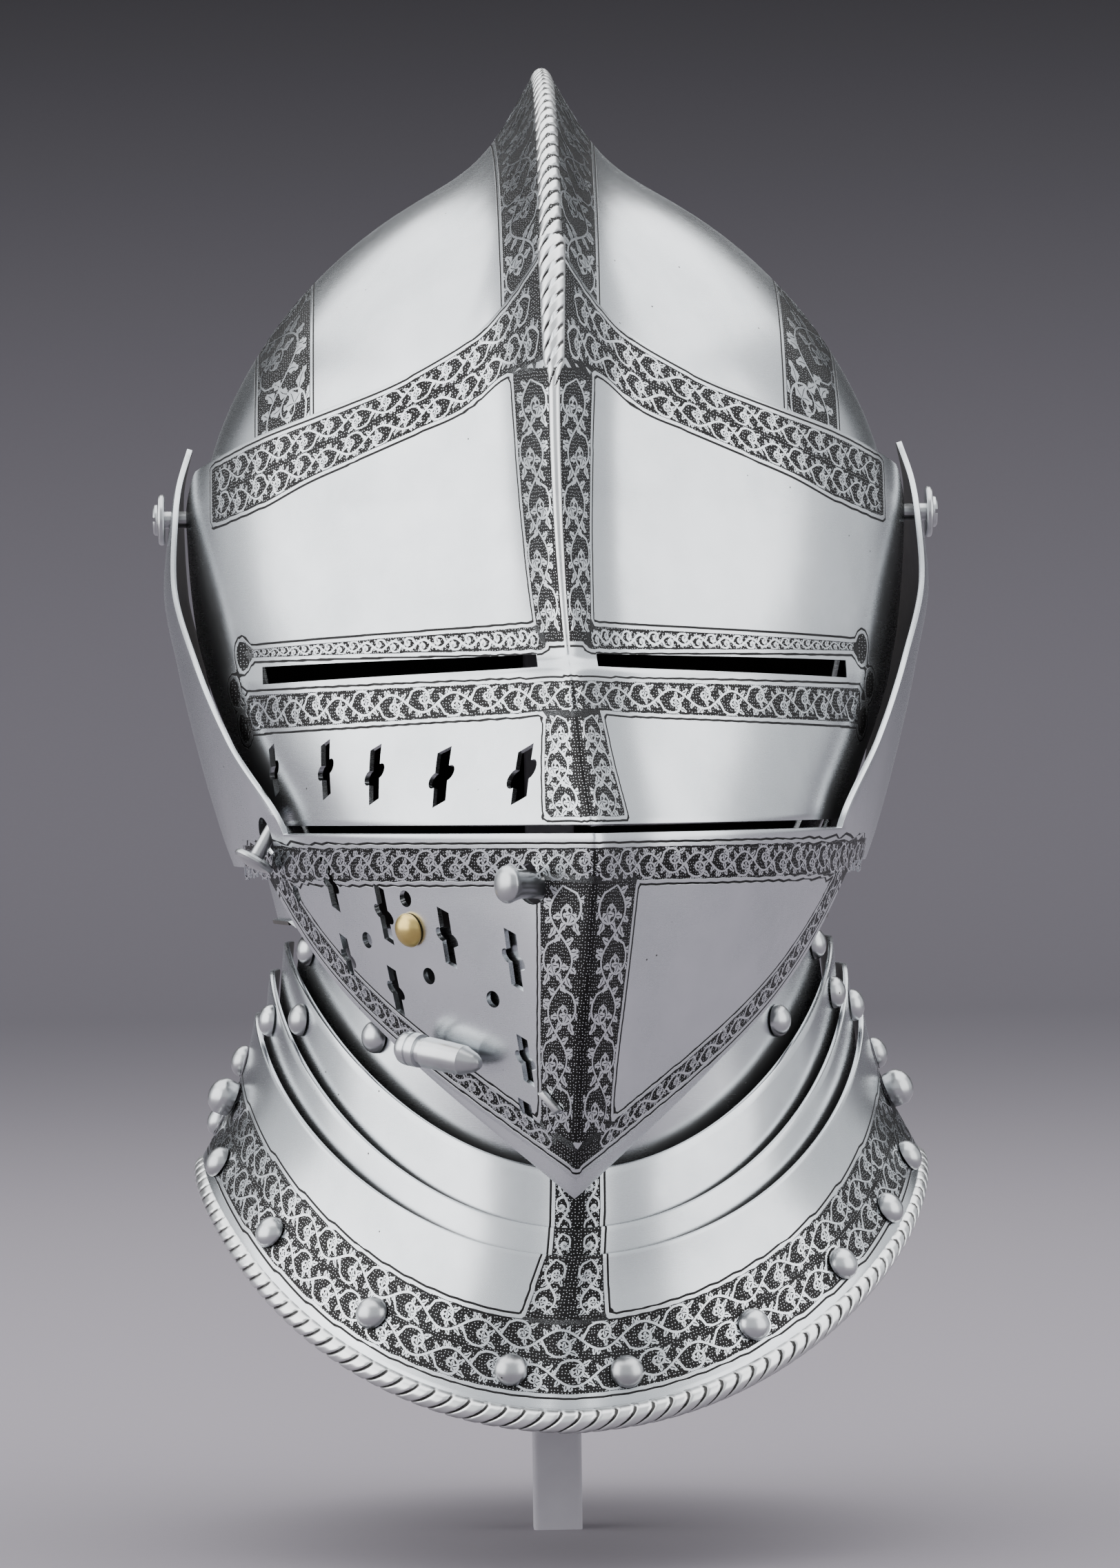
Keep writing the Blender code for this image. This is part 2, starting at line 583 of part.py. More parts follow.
def build_bevor(steel, body):
    """The bevor: the plain chin plate inside the ventail, with narrow arms to the pivots."""
    corner = 59.0 / 88.5
    shares = (0.04, 0.1, 0.2, 0.32, 0.44, 0.56, corner, 0.83, 1.0)
    edge = edge_below(slope=0.83, curl=11.0, curl_at=68.0, middle=-176.0, limit=-107.0)
    bevor = faceplate("bevor", BEVOR, BEVOR_TOP, edge, shares, corner, steel, body)
    beat_out(bevor)
    join_on(bevor, pivot_eyes("bevor_eyes", 92.5, 93.9, 6.4, steel, body))
    cut(bevor, pivot_drill("bevor_drill", steel, body))
    return bevor


def lean_frame(table, x, z, lean_across, lean_up):
    """Where a fitting stands on a plate's face and its own axis, leaning from the face's normal."""
    point, across, up, normal = face_frame(table, x, z)
    axis = (normal + across * lean_across + up * lean_up).normalized()
    side = axis.cross(up).normalized()
    return point, side, side.cross(axis).normalized(), axis


def rod(name, table, x, z, lean_across, lean_up, start, end, radius, sides, finish, body):
    """A round tool along a fitting's axis."""
    turning = ((start, radius), (end, radius))
    return turned(name, lean_frame(table, x, z, lean_across, lean_up), turning, sides, finish, body)


def turned(name, frame, profile, sides, finish, body):
    """A piece turned about a fitting's axis, through pairs of distance along it and radius."""
    point, side, up, axis = frame
    ring = [2 * math.pi * i / sides for i in range(sides)]
    points = []
    for along, radius in profile:
        points += [point + (axis * along + side * radius * math.cos(t) + up * radius * math.sin(t)) * MM
                   for t in ring]
    return mesh_object(name, points, closed_loft(0, len(profile), sides), finish, body)


def lame_face(facing, upper, lower, bulge):
    """The outer face of a lame on the front (facing 1) or back (facing -1), as a function.

    It takes degrees from the middle and the share of the way down; bulge swells (or, below 0, hollows) the face."""
    ends = [(*edge, 1.0)[:5] for edge in (upper, lower)]

    def at(angle, share, out=0.0, down=0.0):
        half_width, reach, side_height, middle_height, power = (a + (b - a) * share for a, b in zip(*ends))
        along = math.cos(math.radians(angle))
        out += bulge * math.sin(math.pi * share)
        x = (half_width + out) * math.sin(math.radians(angle))
        pinch = MIDDLE_PINCH * math.exp(-(x / 7.0) ** 2) * (1.0 if along > 0 else 0.0)
        height = side_height + (middle_height - side_height) * max(along, 0.0) ** power
        return place(x * facing + GORGET_ASIDE, facing * ((reach + out) * along + pinch), height + down)
    return at


def angles_to(span, steps=9):
    """Angles across a lame, closer together in the middle where it is creased."""
    half = [span * (i / steps) ** 1.25 for i in range(1, steps + 1)]
    return [-a for a in reversed(half)] + [0.0] + half


def build_lame(name, face, span, steel, body):
    """One narrow plate of the gorget, bent round the neck."""
    angles = angles_to(span)
    section = ((0.0, 0.0), (1.0, 0.0), (1.0, -WALL), (0.0, -WALL))
    points = [face(angle, share, out) for angle in angles for share, out in section]
    return mesh_object(name, points, closed_loft(0, len(angles), len(section)), steel, body)


def build_rim_plate(name, face, span, plain_beyond, steel, body):
    """A bottom plate of the gorget, flaring to its rolled rim; past an angle its edge stays plain and shorter."""
    angles = angles_to(span, 11)
    if plain_beyond < span:
        step = 0.6
        angles = sorted(angles + [-plain_beyond - step, -plain_beyond, plain_beyond, plain_beyond + step])
    flare = (0.0, 0.25, 0.5, 0.75, 1.0)
    roll = [math.radians(a) for a in (125.0, 70.0, 15.0, -40.0, -95.0, -150.0, -205.0)]
    points = []
    for angle in angles:
        rolled = abs(angle) <= plain_beyond
        foot = 1.0 if rolled else 0.82
        radius = RIM_ROLL_RADIUS if rolled else WALL * 0.5
        points += [face(angle, share * foot) for share in flare]
        points += [face(angle, foot, -WALL * 0.5 + radius * math.cos(turn), -radius + radius * math.sin(turn))
                   for turn in roll]
        points += [face(angle, share * foot, -WALL) for share in reversed(flare)]
    return mesh_object(name, points, closed_loft(0, len(angles), 2 * len(flare) + len(roll)), steel, body)


def fixing_frame(face, angle, share):
    """Point and axes on a lame's face, for what is fixed to it: across, up and outwards."""
    point = face(angle, share)
    across = (face(angle + 0.5, share) - face(angle - 0.5, share)).normalized()
    up = (face(angle, share - 0.02) - face(angle, share + 0.02)).normalized()
    normal = across.cross(up).normalized()
    return point, across, normal.cross(across), normal


def dome_profile():
    """A rivet's round head, standing clear of its plate."""
    seat = GAP + 0.15
    return ((seat, RIVET_RADIUS), (seat + RIVET_HEIGHT * 0.55, RIVET_RADIUS * 0.88),
            (seat + RIVET_HEIGHT, RIVET_RADIUS * 0.3))


def build_gorget(steel, front_body, back_body):
    """The lames of the throat and nape, the two bottom plates, their rivets and the studs that close them."""
    faces = {}
    for facing, lames, plate, plate_name, span, beyond, body in (
        (1, FRONT_LAMES, FRONT_PLATE, "front_gorget_plate", FRONT_SPAN, FRONT_SPAN, front_body),
        (-1, BACK_LAMES, BACK_PLATE, "back_gorget_plate", BACK_SPAN, BACK_ROLL_END, back_body),
    ):
        for name, upper, lower in lames:
            faces[name] = lame_face(facing, upper, lower, 0.0)
            build_lame(name, faces[name], span, steel, body)
        faces[plate_name] = lame_face(facing, *plate, PLATE_HOLLOW)
        build_rim_plate(plate_name, faces[plate_name], span, beyond, steel, body)
    for kind, rivets, body in (("front", FRONT_RIVETS, front_body), ("back", BACK_RIVETS, back_body)):
        for count, (plate_name, angle, share) in enumerate(rivets, 1):
            frame = fixing_frame(faces[plate_name], angle, share)
            turned(f"{kind}_rivet_{count:02d}", frame, dome_profile(), RIVET_SIDES, steel, body)
    for side, name in ((-1, "gorget_stud_right"), (1, "gorget_stud_left")):
        frame = fixing_frame(faces["front_gorget_plate"], side * STUD_AT[0], STUD_AT[1])
        turned(name, frame, STUD_PROFILE, FITTING_SIDES, steel, front_body)


def build_fittings(steel, brass, visor_body, ventail_body):
    """The lifting peg, the catch's button and knob, its nose, and the brass rivet of its spring."""
    turned("lifting_peg", lean_frame(*PEG_ROOT), PEG_PROFILE, FITTING_SIDES, steel, visor_body)
    turned("catch_button", lean_frame(*BUTTON_ROOT), BUTTON_PROFILE, FITTING_SIDES, steel, ventail_body)
    turned("spring_rivet", face_frame(VENTAIL, *SPRING_RIVET_AT), SPRING_RIVET_PROFILE, FITTING_SIDES, brass,
           ventail_body)
    point, across, up, normal = face_frame(VENTAIL, *KNOB_AT)
    lie = sum((way * share for way, share in zip((across, up, normal), KNOB_LIE)), Vector()).normalized()
    side = lie.cross(normal).normalized()
    knob = (point + normal * KNOB_LIFT * MM, side, side.cross(lie), lie)
    turned("latch_knob", knob, KNOB_PROFILE, FITTING_SIDES, steel, ventail_body)
    point, across, up, normal = face_frame(VENTAIL, *NOSE_AT)
    points = []
    for depth, grow in ((GAP, 1.0), (WALL, 0.8)):
        for a, b in NOSE_OUTLINE:
            points.append(point + (across * a * grow + up * b * grow + normal * depth) * MM)
    mesh_object("catch_nose", points, closed_loft(0, 2, len(NOSE_OUTLINE)), steel, ventail_body)


def build_pivots(steel, body):
    """The two pivot screws with their broad washers, headed inside the skull."""
    for side, name in ((-1, "pivot_screw_right"), (1, "pivot_screw_left")):
        frame = (Vector((0, 0, 0)), Vector((0, -side, 0)), Vector((0, 0, 1)), Vector((side, 0, 0)))
        turned(name, frame, PIVOT_PROFILE, FITTING_SIDES, steel, body)


def build_stand(paint, body):
    """The plain stand, one piece: a round foot, a square post and a round pad under the crown."""
    turns = [2 * math.pi * (i + 0.5) / STAND_SIDES for i in range(STAND_SIDES)]
    floor = -PIVOT_HEIGHT

    def circle(radius, height):
        return [place(radius * math.cos(t), radius * math.sin(t), height) for t in turns]

    def square(half, height):
        return [place(half * math.cos(t) / max(abs(math.cos(t)), abs(math.sin(t))),
                      half * math.sin(t) / max(abs(math.cos(t)), abs(math.sin(t))), height) for t in turns]

    loops = [
        circle(FOOT_RADIUS, floor), circle(FOOT_RADIUS, floor + FOOT_THICKNESS - 0.8),
        circle(FOOT_RADIUS - 0.8, floor + FOOT_THICKNESS), square(POST_HALF, floor + FOOT_THICKNESS),
        square(POST_HALF, PAD_TOP - 30.0), circle(30.0, PAD_TOP - 28.0), circle(35.0, PAD_TOP - 20.0),
        circle(28.0, PAD_TOP - 8.5), circle(14.0, PAD_TOP - 2.0),
    ]
    points = [p for loop in loops for p in loop]
    return mesh_object("post_stand", points, closed_loft(0, len(loops), STAND_SIDES), paint, body)


def main():
    clear_scene()
    steel = material("polished_steel", STEEL)
    brass = material("brass", BRASS)
    paint = material("grey_paint", PAINT)
    skull_body = body_empty("skull_body")
    bevor_body = body_empty("bevor_hinge", skull_body)
    ventail_body = body_empty("ventail_hinge", bevor_body)
    visor_body = body_empty("visor_hinge", ventail_body)
    build_stand(paint, skull_body)
    build_skull(steel, skull_body)
    build_bevor(steel, bevor_body)
    build_ventail(steel, ventail_body)
    build_visor(steel, visor_body)
    build_gorget(steel, bevor_body, skull_body)
    build_fittings(steel, brass, visor_body, ventail_body)
    build_pivots(steel, skull_body)


main()
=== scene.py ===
"""Close helmet of etched steel plates on a plain post stand: the finish of every plate and fitting."""
import json
import math

import bmesh
import bpy
import numpy as np
from mathutils import Euler, Matrix, Vector
from mathutils.kdtree import KDTree

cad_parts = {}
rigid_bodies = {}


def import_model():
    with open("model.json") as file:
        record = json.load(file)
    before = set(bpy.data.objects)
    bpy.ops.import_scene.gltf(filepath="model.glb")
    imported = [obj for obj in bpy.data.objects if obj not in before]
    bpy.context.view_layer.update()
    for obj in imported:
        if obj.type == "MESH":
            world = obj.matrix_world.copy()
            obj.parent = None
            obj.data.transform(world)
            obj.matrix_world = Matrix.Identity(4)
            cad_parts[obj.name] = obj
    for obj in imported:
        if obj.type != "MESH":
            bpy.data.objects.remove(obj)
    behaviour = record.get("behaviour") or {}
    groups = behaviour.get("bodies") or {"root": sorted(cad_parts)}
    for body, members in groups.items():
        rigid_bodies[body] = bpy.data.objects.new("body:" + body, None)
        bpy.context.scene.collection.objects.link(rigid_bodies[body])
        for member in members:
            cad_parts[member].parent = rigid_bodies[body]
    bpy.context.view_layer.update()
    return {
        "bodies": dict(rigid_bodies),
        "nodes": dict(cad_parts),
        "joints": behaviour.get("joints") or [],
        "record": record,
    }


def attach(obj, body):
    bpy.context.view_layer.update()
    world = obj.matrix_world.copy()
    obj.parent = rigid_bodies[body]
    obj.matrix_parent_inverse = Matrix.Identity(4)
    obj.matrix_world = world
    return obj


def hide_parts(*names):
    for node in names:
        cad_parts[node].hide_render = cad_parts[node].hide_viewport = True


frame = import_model()


# -------------------------------------------------------------------------------------------------- skull
# The bowl of the helmet, beaten from one plate of medium-carbon steel and drawn up into a high comb whose
# crest is roped with a file. Its bands are etched with acid round a wax drawing, and their ground is
# blackened.

MM = 0.001
PIVOT = frame["joints"][0]["pos_m"]
ROUNDNESS = 1.7             # power of the plates' pointed oval
BACK_REACH = 110.0          # and how deep it is behind the pivots
RIDGE_SPREAD = 11.5         # how far the flare of a ridge spreads to each side
SKULL_HALF_WIDTH = 92.0
SKULL_REACH = 94.5
COMB_HEIGHT = 25.0
BACK_STRETCH = 1.22
SKULL_FOOT_SIDE = -92.0
SKULL_FOOT_BACK = -106.0
SKULL_WALL = 1.6
BROW_TURN = 5.0             # the face opening's upper edge, degrees above the pivots
CHEEK_SHARE = 0.72          # part of the half width, from the middle, where the cheeks begin
PIVOT_HOLE = 2.7            # radius of the holes that the pivot screws go through
# Skull below the pivots: share of the way down, width, and depths of the back, the comb and the front.
SKIRT = (
    (0.0, 1.0, 1.0, 1.0, 1.0),
    (0.25, 0.97, 0.99, 0.86, 0.85),
    (0.5, 0.915, 0.93, 0.62, 0.66),
    (0.75, 0.86, 0.84, 0.36, 0.52),
    (1.0, 0.75, 0.76, 0.16, 0.43),
)
# The prow is not quite straight: height, and how far it leans to the wearer's left where it reaches out
# to SWAY_REACH.
SWAY = (
    (60.0, 0.0), (20.0, -0.2), (0.0, 0.2), (-22.0, 1.3), (-40.0, 2.6), (-54.0, 3.75), (-66.0, 4.5),
    (-82.0, 6.2), (-90.0, 6.6), (-108.0, 5.9), (-125.0, 5.0), (-142.0, 4.0), (-167.0, 3.3),
    (-180.0, 2.9), (-212.0, -1.2), (-236.0, -1.8), (-250.0, 0.0),
)
SWAY_REACH = 140.0


def place(x, f, z):
    """Points given in mm from the pivots' axis (left, forward, up), as points in mm of the whole."""
    x, f, z = np.broadcast_arrays(x, f, z)
    sway = read_table(SWAY, z)[0] * (np.maximum(f, 0.0) / SWAY_REACH) ** 1.5
    return np.stack([x + sway, PIVOT[1] / MM - f, PIVOT[2] / MM + z], axis=-1).astype(float)


def read_table(table, key):
    """Every column of a table at values of its first column, on smooth curves that never overshoot."""
    rows = np.array(sorted(table), float)
    places, values = rows[:, 0], rows[:, 1:]
    step = np.diff(places)
    rise = np.diff(values, axis=0) / step[:, None]
    slope = np.zeros_like(values)
    slope[0], slope[-1] = rise[0], rise[-1]
    same_way = rise[:-1] * rise[1:] > 0
    total = np.where(same_way, rise[:-1] + rise[1:], 1.0)
    slope[1:-1] = np.where(same_way, 2 * rise[:-1] * rise[1:] / total, 0.0)
    key = np.clip(np.asarray(key, float), places[0], places[-1])
    i = np.clip(np.searchsorted(places, key) - 1, 0, len(step) - 1)
    t = ((key - places[i]) / step[i])[..., None]
    run = step[i][..., None]
    mixed = (
        (2 * t ** 3 - 3 * t ** 2 + 1) * values[i] + (t ** 3 - 2 * t ** 2 + t) * run * slope[i]
        + (3 * t ** 2 - 2 * t ** 3) * values[i + 1] + (t ** 3 - t ** 2) * run * slope[i + 1]
    )
    return np.moveaxis(mixed, -1, 0)


def ridge(x, height):
    """The sharp ridge down the middle of a plate."""
    return height * np.exp(-(np.abs(x) / RIDGE_SPREAD) ** 1.5)


def oval(angle, half_width, reach):
    """Points of a plate's pointed oval, at angles in degrees from the middle of the face."""
    turn = np.radians(np.minimum(np.abs(angle), 180.0))
    power = np.where(np.abs(angle) <= 90.0, 2.0 / ROUNDNESS, 1.0)
    across = np.sign(angle) * half_width * np.sin(turn) ** power
    ahead = reach * np.maximum(np.cos(turn), 0.0) ** (2.0 / ROUNDNESS)
    return across, np.where(np.abs(angle) <= 90.0, ahead, BACK_REACH * np.cos(turn))


def oval_angle(x, half_width):
    """The angle at which the oval is as far as x from the middle, with x's sign."""
    share = np.minimum(np.abs(x) / half_width, 1.0) ** (ROUNDNESS / 2.0)
    return np.sign(x) * np.degrees(np.arcsin(share))


def skull_face(angle, turn):
    """The skull's outer face by turn about the pivots: brow at 0, back at 180, lower edge at 270."""
    angle, turn = np.broadcast_arrays(np.asarray(angle, float), np.asarray(turn, float))
    x, reach = oval(angle, SKULL_HALF_WIDTH, SKULL_REACH)
    radius = reach + ridge(x, COMB_HEIGHT) * np.minimum(1.0, reach / 20.0)
    share = np.clip((turn - 100.0) / 80.0, 0.0, 1.0)
    stretch = 1.0 + (BACK_STRETCH - 1.0) * share * share * (3.0 - 2.0 * share)
    f = radius * np.cos(np.radians(turn))
    bowl = place(x, f * np.where(f < 0, stretch, 1.0), radius * np.sin(np.radians(turn)))
    down = np.clip((turn - 180.0) / 90.0, 0.0, 1.0)
    return np.where((turn <= 180.0)[..., None], bowl, skirt_face(angle, down))


def skirt_face(angle, down, at_back=True):
    """The skull's outer face below the pivots, behind them or on the cheek in front of them."""
    wide, deep, comb, front = read_table(SKIRT, down)
    turn = np.radians(np.abs(angle))
    power = 2.0 / (ROUNDNESS + (2.0 - ROUNDNESS) * down)
    x = np.sign(angle) * SKULL_HALF_WIDTH * np.sin(turn) ** power
    reach = SKULL_REACH * np.maximum(np.cos(turn), 0.0) ** power
    if not at_back:
        return place(x * wide, reach * front, down * SKULL_FOOT_SIDE)
    crest = ridge(x, COMB_HEIGHT) * np.minimum(1.0, reach / 20.0)
    foot = SKULL_FOOT_SIDE + (SKULL_FOOT_BACK - SKULL_FOOT_SIDE) * reach / SKULL_REACH
    return place(x * wide, -BACK_STRETCH * (reach * deep + crest * comb), down * foot)


def both_sides(half):
    """Values from 0 outwards, with their mirror images before them."""
    half = np.asarray(half, float)
    return np.concatenate([-half[:0:-1], half])


def grid_faces(rows, columns, start=0, turned_over=False):
    faces = []
    for r in range(rows - 1):
        for c in range(columns - 1):
            a = start + r * columns + c
            face = (a, a + columns, a + columns + 1, a + 1)
            faces.append(face[::-1] if turned_over else face)
    return faces


def new_piece(name, points, faces, finishes, which=None):
    """A mesh object from points in mm; which says which of the finishes each face has."""
    mesh = bpy.data.meshes.new(name)
    mesh.from_pydata((np.asarray(points) * MM).tolist(), [], faces)
    piece = bpy.data.objects.new(name, mesh)
    bpy.context.scene.collection.objects.link(piece)
    for finish in finishes:
        mesh.materials.append(finish)
    if which is not None:
        mesh.polygons.foreach_set("material_index", which)
    return piece


def weld(piece):
    """Joins a closed piece's doubled points, and makes its faces point out."""
    shape = bmesh.new()
    shape.from_mesh(piece.data)
    bmesh.ops.remove_doubles(shape, verts=shape.verts, dist=2e-6)
    bmesh.ops.dissolve_degenerate(shape, edges=shape.edges, dist=1e-7)
    bmesh.ops.recalc_face_normals(shape, faces=shape.faces)
    shape.to_mesh(piece.data)
    shape.free()


def smooth(piece, angle=35.0):
    """Shades a piece smoothly between the edges that are sharper than an angle."""
    piece.data.shade_smooth()
    piece.data.set_sharp_from_angle(angle=math.radians(angle))


def cut_with(piece, tools, solver):
    """Cuts the shapes of tools out of a piece, after its other modifiers, and clears the tools away."""
    for tool in tools:
        hole = piece.modifiers.new(tool.name, "BOOLEAN")
        hole.operation = "DIFFERENCE"
        hole.solver = solver
        hole.object = tool
    made = bpy.data.meshes.new_from_object(piece.evaluated_get(bpy.context.evaluated_depsgraph_get()))
    piece.modifiers.clear()
    piece.data = made
    for tool in tools:
        bpy.data.objects.remove(tool, do_unlink=True)


def beat_plate(name, points, faces, finishes, wall, tools=(), edge=0.3):
    """A plate from its outer face: given its thickness, its edges rounded with a file, cut with tools.

    Near the ridge the thickness runs more straight in, so that the inner face does not cross itself."""
    points = np.asarray(points, float)
    _, first, merged = np.unique(np.round(points, 3), axis=0, return_index=True, return_inverse=True)
    merged = merged.ravel()
    points = points[first]
    faces = [tuple(dict.fromkeys(merged[list(face)].tolist())) for face in faces]
    faces = [face for face in faces if len(face) > 2]
    normals = np.zeros_like(points)
    for face in faces:
        a, b, c = points[face[0]], points[face[len(face) // 2]], points[face[1]]
        d = points[face[-1]]
        normals[list(face)] += np.cross(b - a, d - c) if len(face) > 3 else np.cross(c - a, d - a)
    normals /= np.maximum(np.linalg.norm(normals, axis=1, keepdims=True), 1e-12)
    most = 0.7 * np.abs(points[:, 0]) / wall
    sideways = np.clip(normals[:, 0], -most, most)
    rest = np.linalg.norm(normals[:, 1:], axis=1)
    grown = np.sqrt(np.maximum(1 - sideways ** 2, 0)) / np.maximum(rest, 1e-6)
    inner = points - wall * np.stack([sideways, normals[:, 1] * grown, normals[:, 2] * grown], axis=-1)
    count = len(points)
    used = {(a, b) for face in faces for a, b in zip(face, face[1:] + face[:1])}
    rim = [(b, a, a + count, b + count) for a, b in used if (b, a) not in used]
    inside = [tuple(i + count for i in reversed(face)) for face in faces]
    which = [0] * len(faces) + [1] * len(inside) + [0] * len(rim)
    piece = new_piece(name, np.concatenate([points, inner]), faces + inside + rim, finishes, which)
    if edge:
        filed = piece.modifiers.new("filed edge", "BEVEL")
        filed.width = edge * MM
        filed.segments = 2
        filed.limit_method = "ANGLE"
        filed.angle_limit = math.radians(55)
    cut_with(piece, tools, "MANIFOLD")
    smooth(piece)
    return piece


def loft_faces(loops, count, start=0):
    """Faces of a closed body through loops of points."""
    faces = []
    for loop in range(loops - 1):
        for i in range(count):
            a, b = start + loop * count + i, start + loop * count + (i + 1) % count
            faces.append((a, b, b + count, a + count))
    faces.append(tuple(start + i for i in reversed(range(count))))
    faces.append(tuple(start + (loops - 1) * count + i for i in range(count)))
    return faces


def pivot_drill(name):
    """Two round tools on the pivots' axis, one through each side of the helmet."""
    turn = np.linspace(0, 2 * math.pi, 24, endpoint=False)
    points, faces = [], []
    for side in (-1, 1):
        faces += loft_faces(2, 24, len(points))
        for x in (80.0, 112.0):
            points += place(side * x, PIVOT_HOLE * np.cos(turn), PIVOT_HOLE * np.sin(turn)).tolist()
    tool = new_piece(name, points, faces, [])
    weld(tool)
    return tool


def hex_colour(code):
    """An sRGB hex colour as the linear colour that a shader takes."""
    parts = [int(code[i:i + 2], 16) / 255 for i in (1, 3, 5)]
    return (*[p / 12.92 if p <= 0.04045 else ((p + 0.055) / 1.055) ** 2.4 for p in parts], 1.0)


def set_up(tree, node, settings=None, links=None):
    """Gives a node values for its inputs or its own settings, and links sockets to its inputs.

    Where a link names a node, its first output is meant."""
    for key, value in (settings or {}).items():
        if isinstance(key, int) or key in node.inputs:
            node.inputs[key].default_value = value
        else:
            setattr(node, key, value)
    for key, source in (links or {}).items():
        tree.links.new(source.outputs[0] if hasattr(source, "outputs") else source, node.inputs[key])
    return node


def add_node(tree, kind, settings=None, links=None):
    return set_up(tree, tree.nodes.new(kind), settings, links)


def new_finish(name):
    """A material with its tree, its shader, and the place on the piece in mm."""
    finish = bpy.data.materials.new(name)
    finish.use_nodes = True
    tree = finish.node_tree
    shader = tree.nodes["Principled BSDF"]
    coordinates = add_node(tree, "ShaderNodeTexCoord")
    place_mm = add_node(tree, "ShaderNodeVectorMath", {"operation": "SCALE", "Scale": 1 / MM},
                        {0: coordinates.outputs["Object"]})
    return finish, tree, shader, place_mm.outputs[0]


def polished_steel(name, light, dull, roughness, etched=False):
    """Carbon steel planished with a hammer, then ground and burnished: cool, with soft cloudy
    reflections, faint strokes of the polishing stone and a few small pits of old rust. The etched one has
    black stippled bands."""
    finish, tree, shader, mm = new_finish(name)
    cloud = add_node(tree, "ShaderNodeTexNoise", {"Scale": 1 / 34, "Detail": 5.0, "Roughness": 0.62},
                     {"Vector": mm})
    tone = add_node(tree, "ShaderNodeMapRange", {"From Min": 0.35, "From Max": 0.7}, {"Value": cloud})
    colour = add_node(tree, "ShaderNodeMix",
                      {"data_type": "RGBA", 6: hex_colour(light), 7: hex_colour(dull)}, {0: tone})
    stroke_at = add_node(tree, "ShaderNodeMapping",
                         {"Scale": (0.25, 0.25, 5.0), "Rotation": (0.0, 0.35, 0.0)}, {"Vector": mm})
    stroke = add_node(tree, "ShaderNodeTexNoise", {"Scale": 1.0, "Detail": 3.0, "Roughness": 0.7},
                      {"Vector": stroke_at})
    pit = add_node(tree, "ShaderNodeTexVoronoi", {"Scale": 1 / 5.5, "Randomness": 1.0}, {"Vector": mm})
    pit_in = add_node(tree, "ShaderNodeMapRange",
                      {"From Min": 0.035, "From Max": 0.06, "To Min": 1.0, "To Max": 0.0}, {"Value": pit})
    some = add_node(tree, "ShaderNodeMath", {"operation": "GREATER_THAN", 1: 0.56}, {0: cloud})
    rust = add_node(tree, "ShaderNodeMath", {"operation": "MULTIPLY"}, {0: pit_in, 1: some})
    pitted = add_node(tree, "ShaderNodeMix", {"data_type": "RGBA", 7: hex_colour("#3a3734")},
                      {0: rust, 6: colour.outputs[2]})
    rough = add_node(tree, "ShaderNodeMapRange", {"To Min": roughness - 0.04, "To Max": roughness + 0.1},
                     {"Value": cloud})
    rough = add_node(tree, "ShaderNodeMath", {"operation": "MULTIPLY_ADD", 1: 0.07},
                     {0: stroke, 2: rough})
    planish = add_node(tree, "ShaderNodeTexNoise", {"Scale": 1 / 16, "Detail": 1.0}, {"Vector": mm})
    dent = add_node(tree, "ShaderNodeBump", {"Strength": 0.5, "Distance": 0.22 * MM}, {"Height": planish})
    scratch = add_node(tree, "ShaderNodeBump", {"Strength": 0.35, "Distance": 0.01 * MM},
                       {"Height": stroke, "Normal": dent})
    if not etched:
        set_up(tree, shader, {"Metallic": 1.0},
               {"Base Color": pitted.outputs[2], "Roughness": rough, "Normal": scratch})
        return finish
    inside = add_node(tree, "ShaderNodeAttribute", {"attribute_name": "band_mm"})
    lay = add_node(tree, "ShaderNodeAttribute", {"attribute_name": "lay_mm"})
    steps = [
        add_node(tree, "ShaderNodeMapRange", {"From Min": start - 0.05, "From Max": start + 0.05},
                 {"Value": inside.outputs["Fac"]})
        for start in (0.0, BORDER_LINE, BORDER)
    ]
    line = add_node(tree, "ShaderNodeMath", {"operation": "SUBTRACT"}, {0: steps[0], 1: steps[1]})
    dots = add_node(tree, "ShaderNodeTexVoronoi",
                    {"voronoi_dimensions": "2D", "Scale": 1 / STIPPLE, "Randomness": 0.5},
                    {"Vector": lay.outputs["Vector"]})
    dark = add_node(tree, "ShaderNodeMapRange", {"From Min": 0.11, "From Max": 0.16}, {"Value": dots})
    ground = add_node(tree, "ShaderNodeMath", {"operation": "MULTIPLY"}, {0: dark, 1: steps[2]})
    black = add_node(tree, "ShaderNodeMath", {"operation": "MAXIMUM"}, {0: ground, 1: line})
    worn = add_node(tree, "ShaderNodeMapRange",
                    {"From Min": 0.4, "From Max": 0.8, "To Min": 1.0, "To Max": 0.985}, {"Value": cloud})
    black = add_node(tree, "ShaderNodeMath", {"operation": "MULTIPLY"}, {0: black, 1: worn})
    etched_colour = add_node(tree, "ShaderNodeMix", {"data_type": "RGBA", 7: hex_colour("#1c1b1b")},
                             {0: black, 6: pitted.outputs[2]})
    metal = add_node(tree, "ShaderNodeMath", {"operation": "MULTIPLY_ADD", 1: -0.15, 2: 1.0}, {0: black})
    rough = add_node(tree, "ShaderNodeMath", {"operation": "MULTIPLY_ADD", 1: 0.2}, {0: black, 2: rough})
    sunk = add_node(tree, "ShaderNodeBump", {"Strength": 0.6, "Distance": 0.07 * MM, "invert": True},
                    {"Height": black, "Normal": scratch})
    set_up(tree, shader,
           links={"Base Color": etched_colour.outputs[2], "Metallic": metal, "Roughness": rough,
                  "Normal": sunk})
    return finish


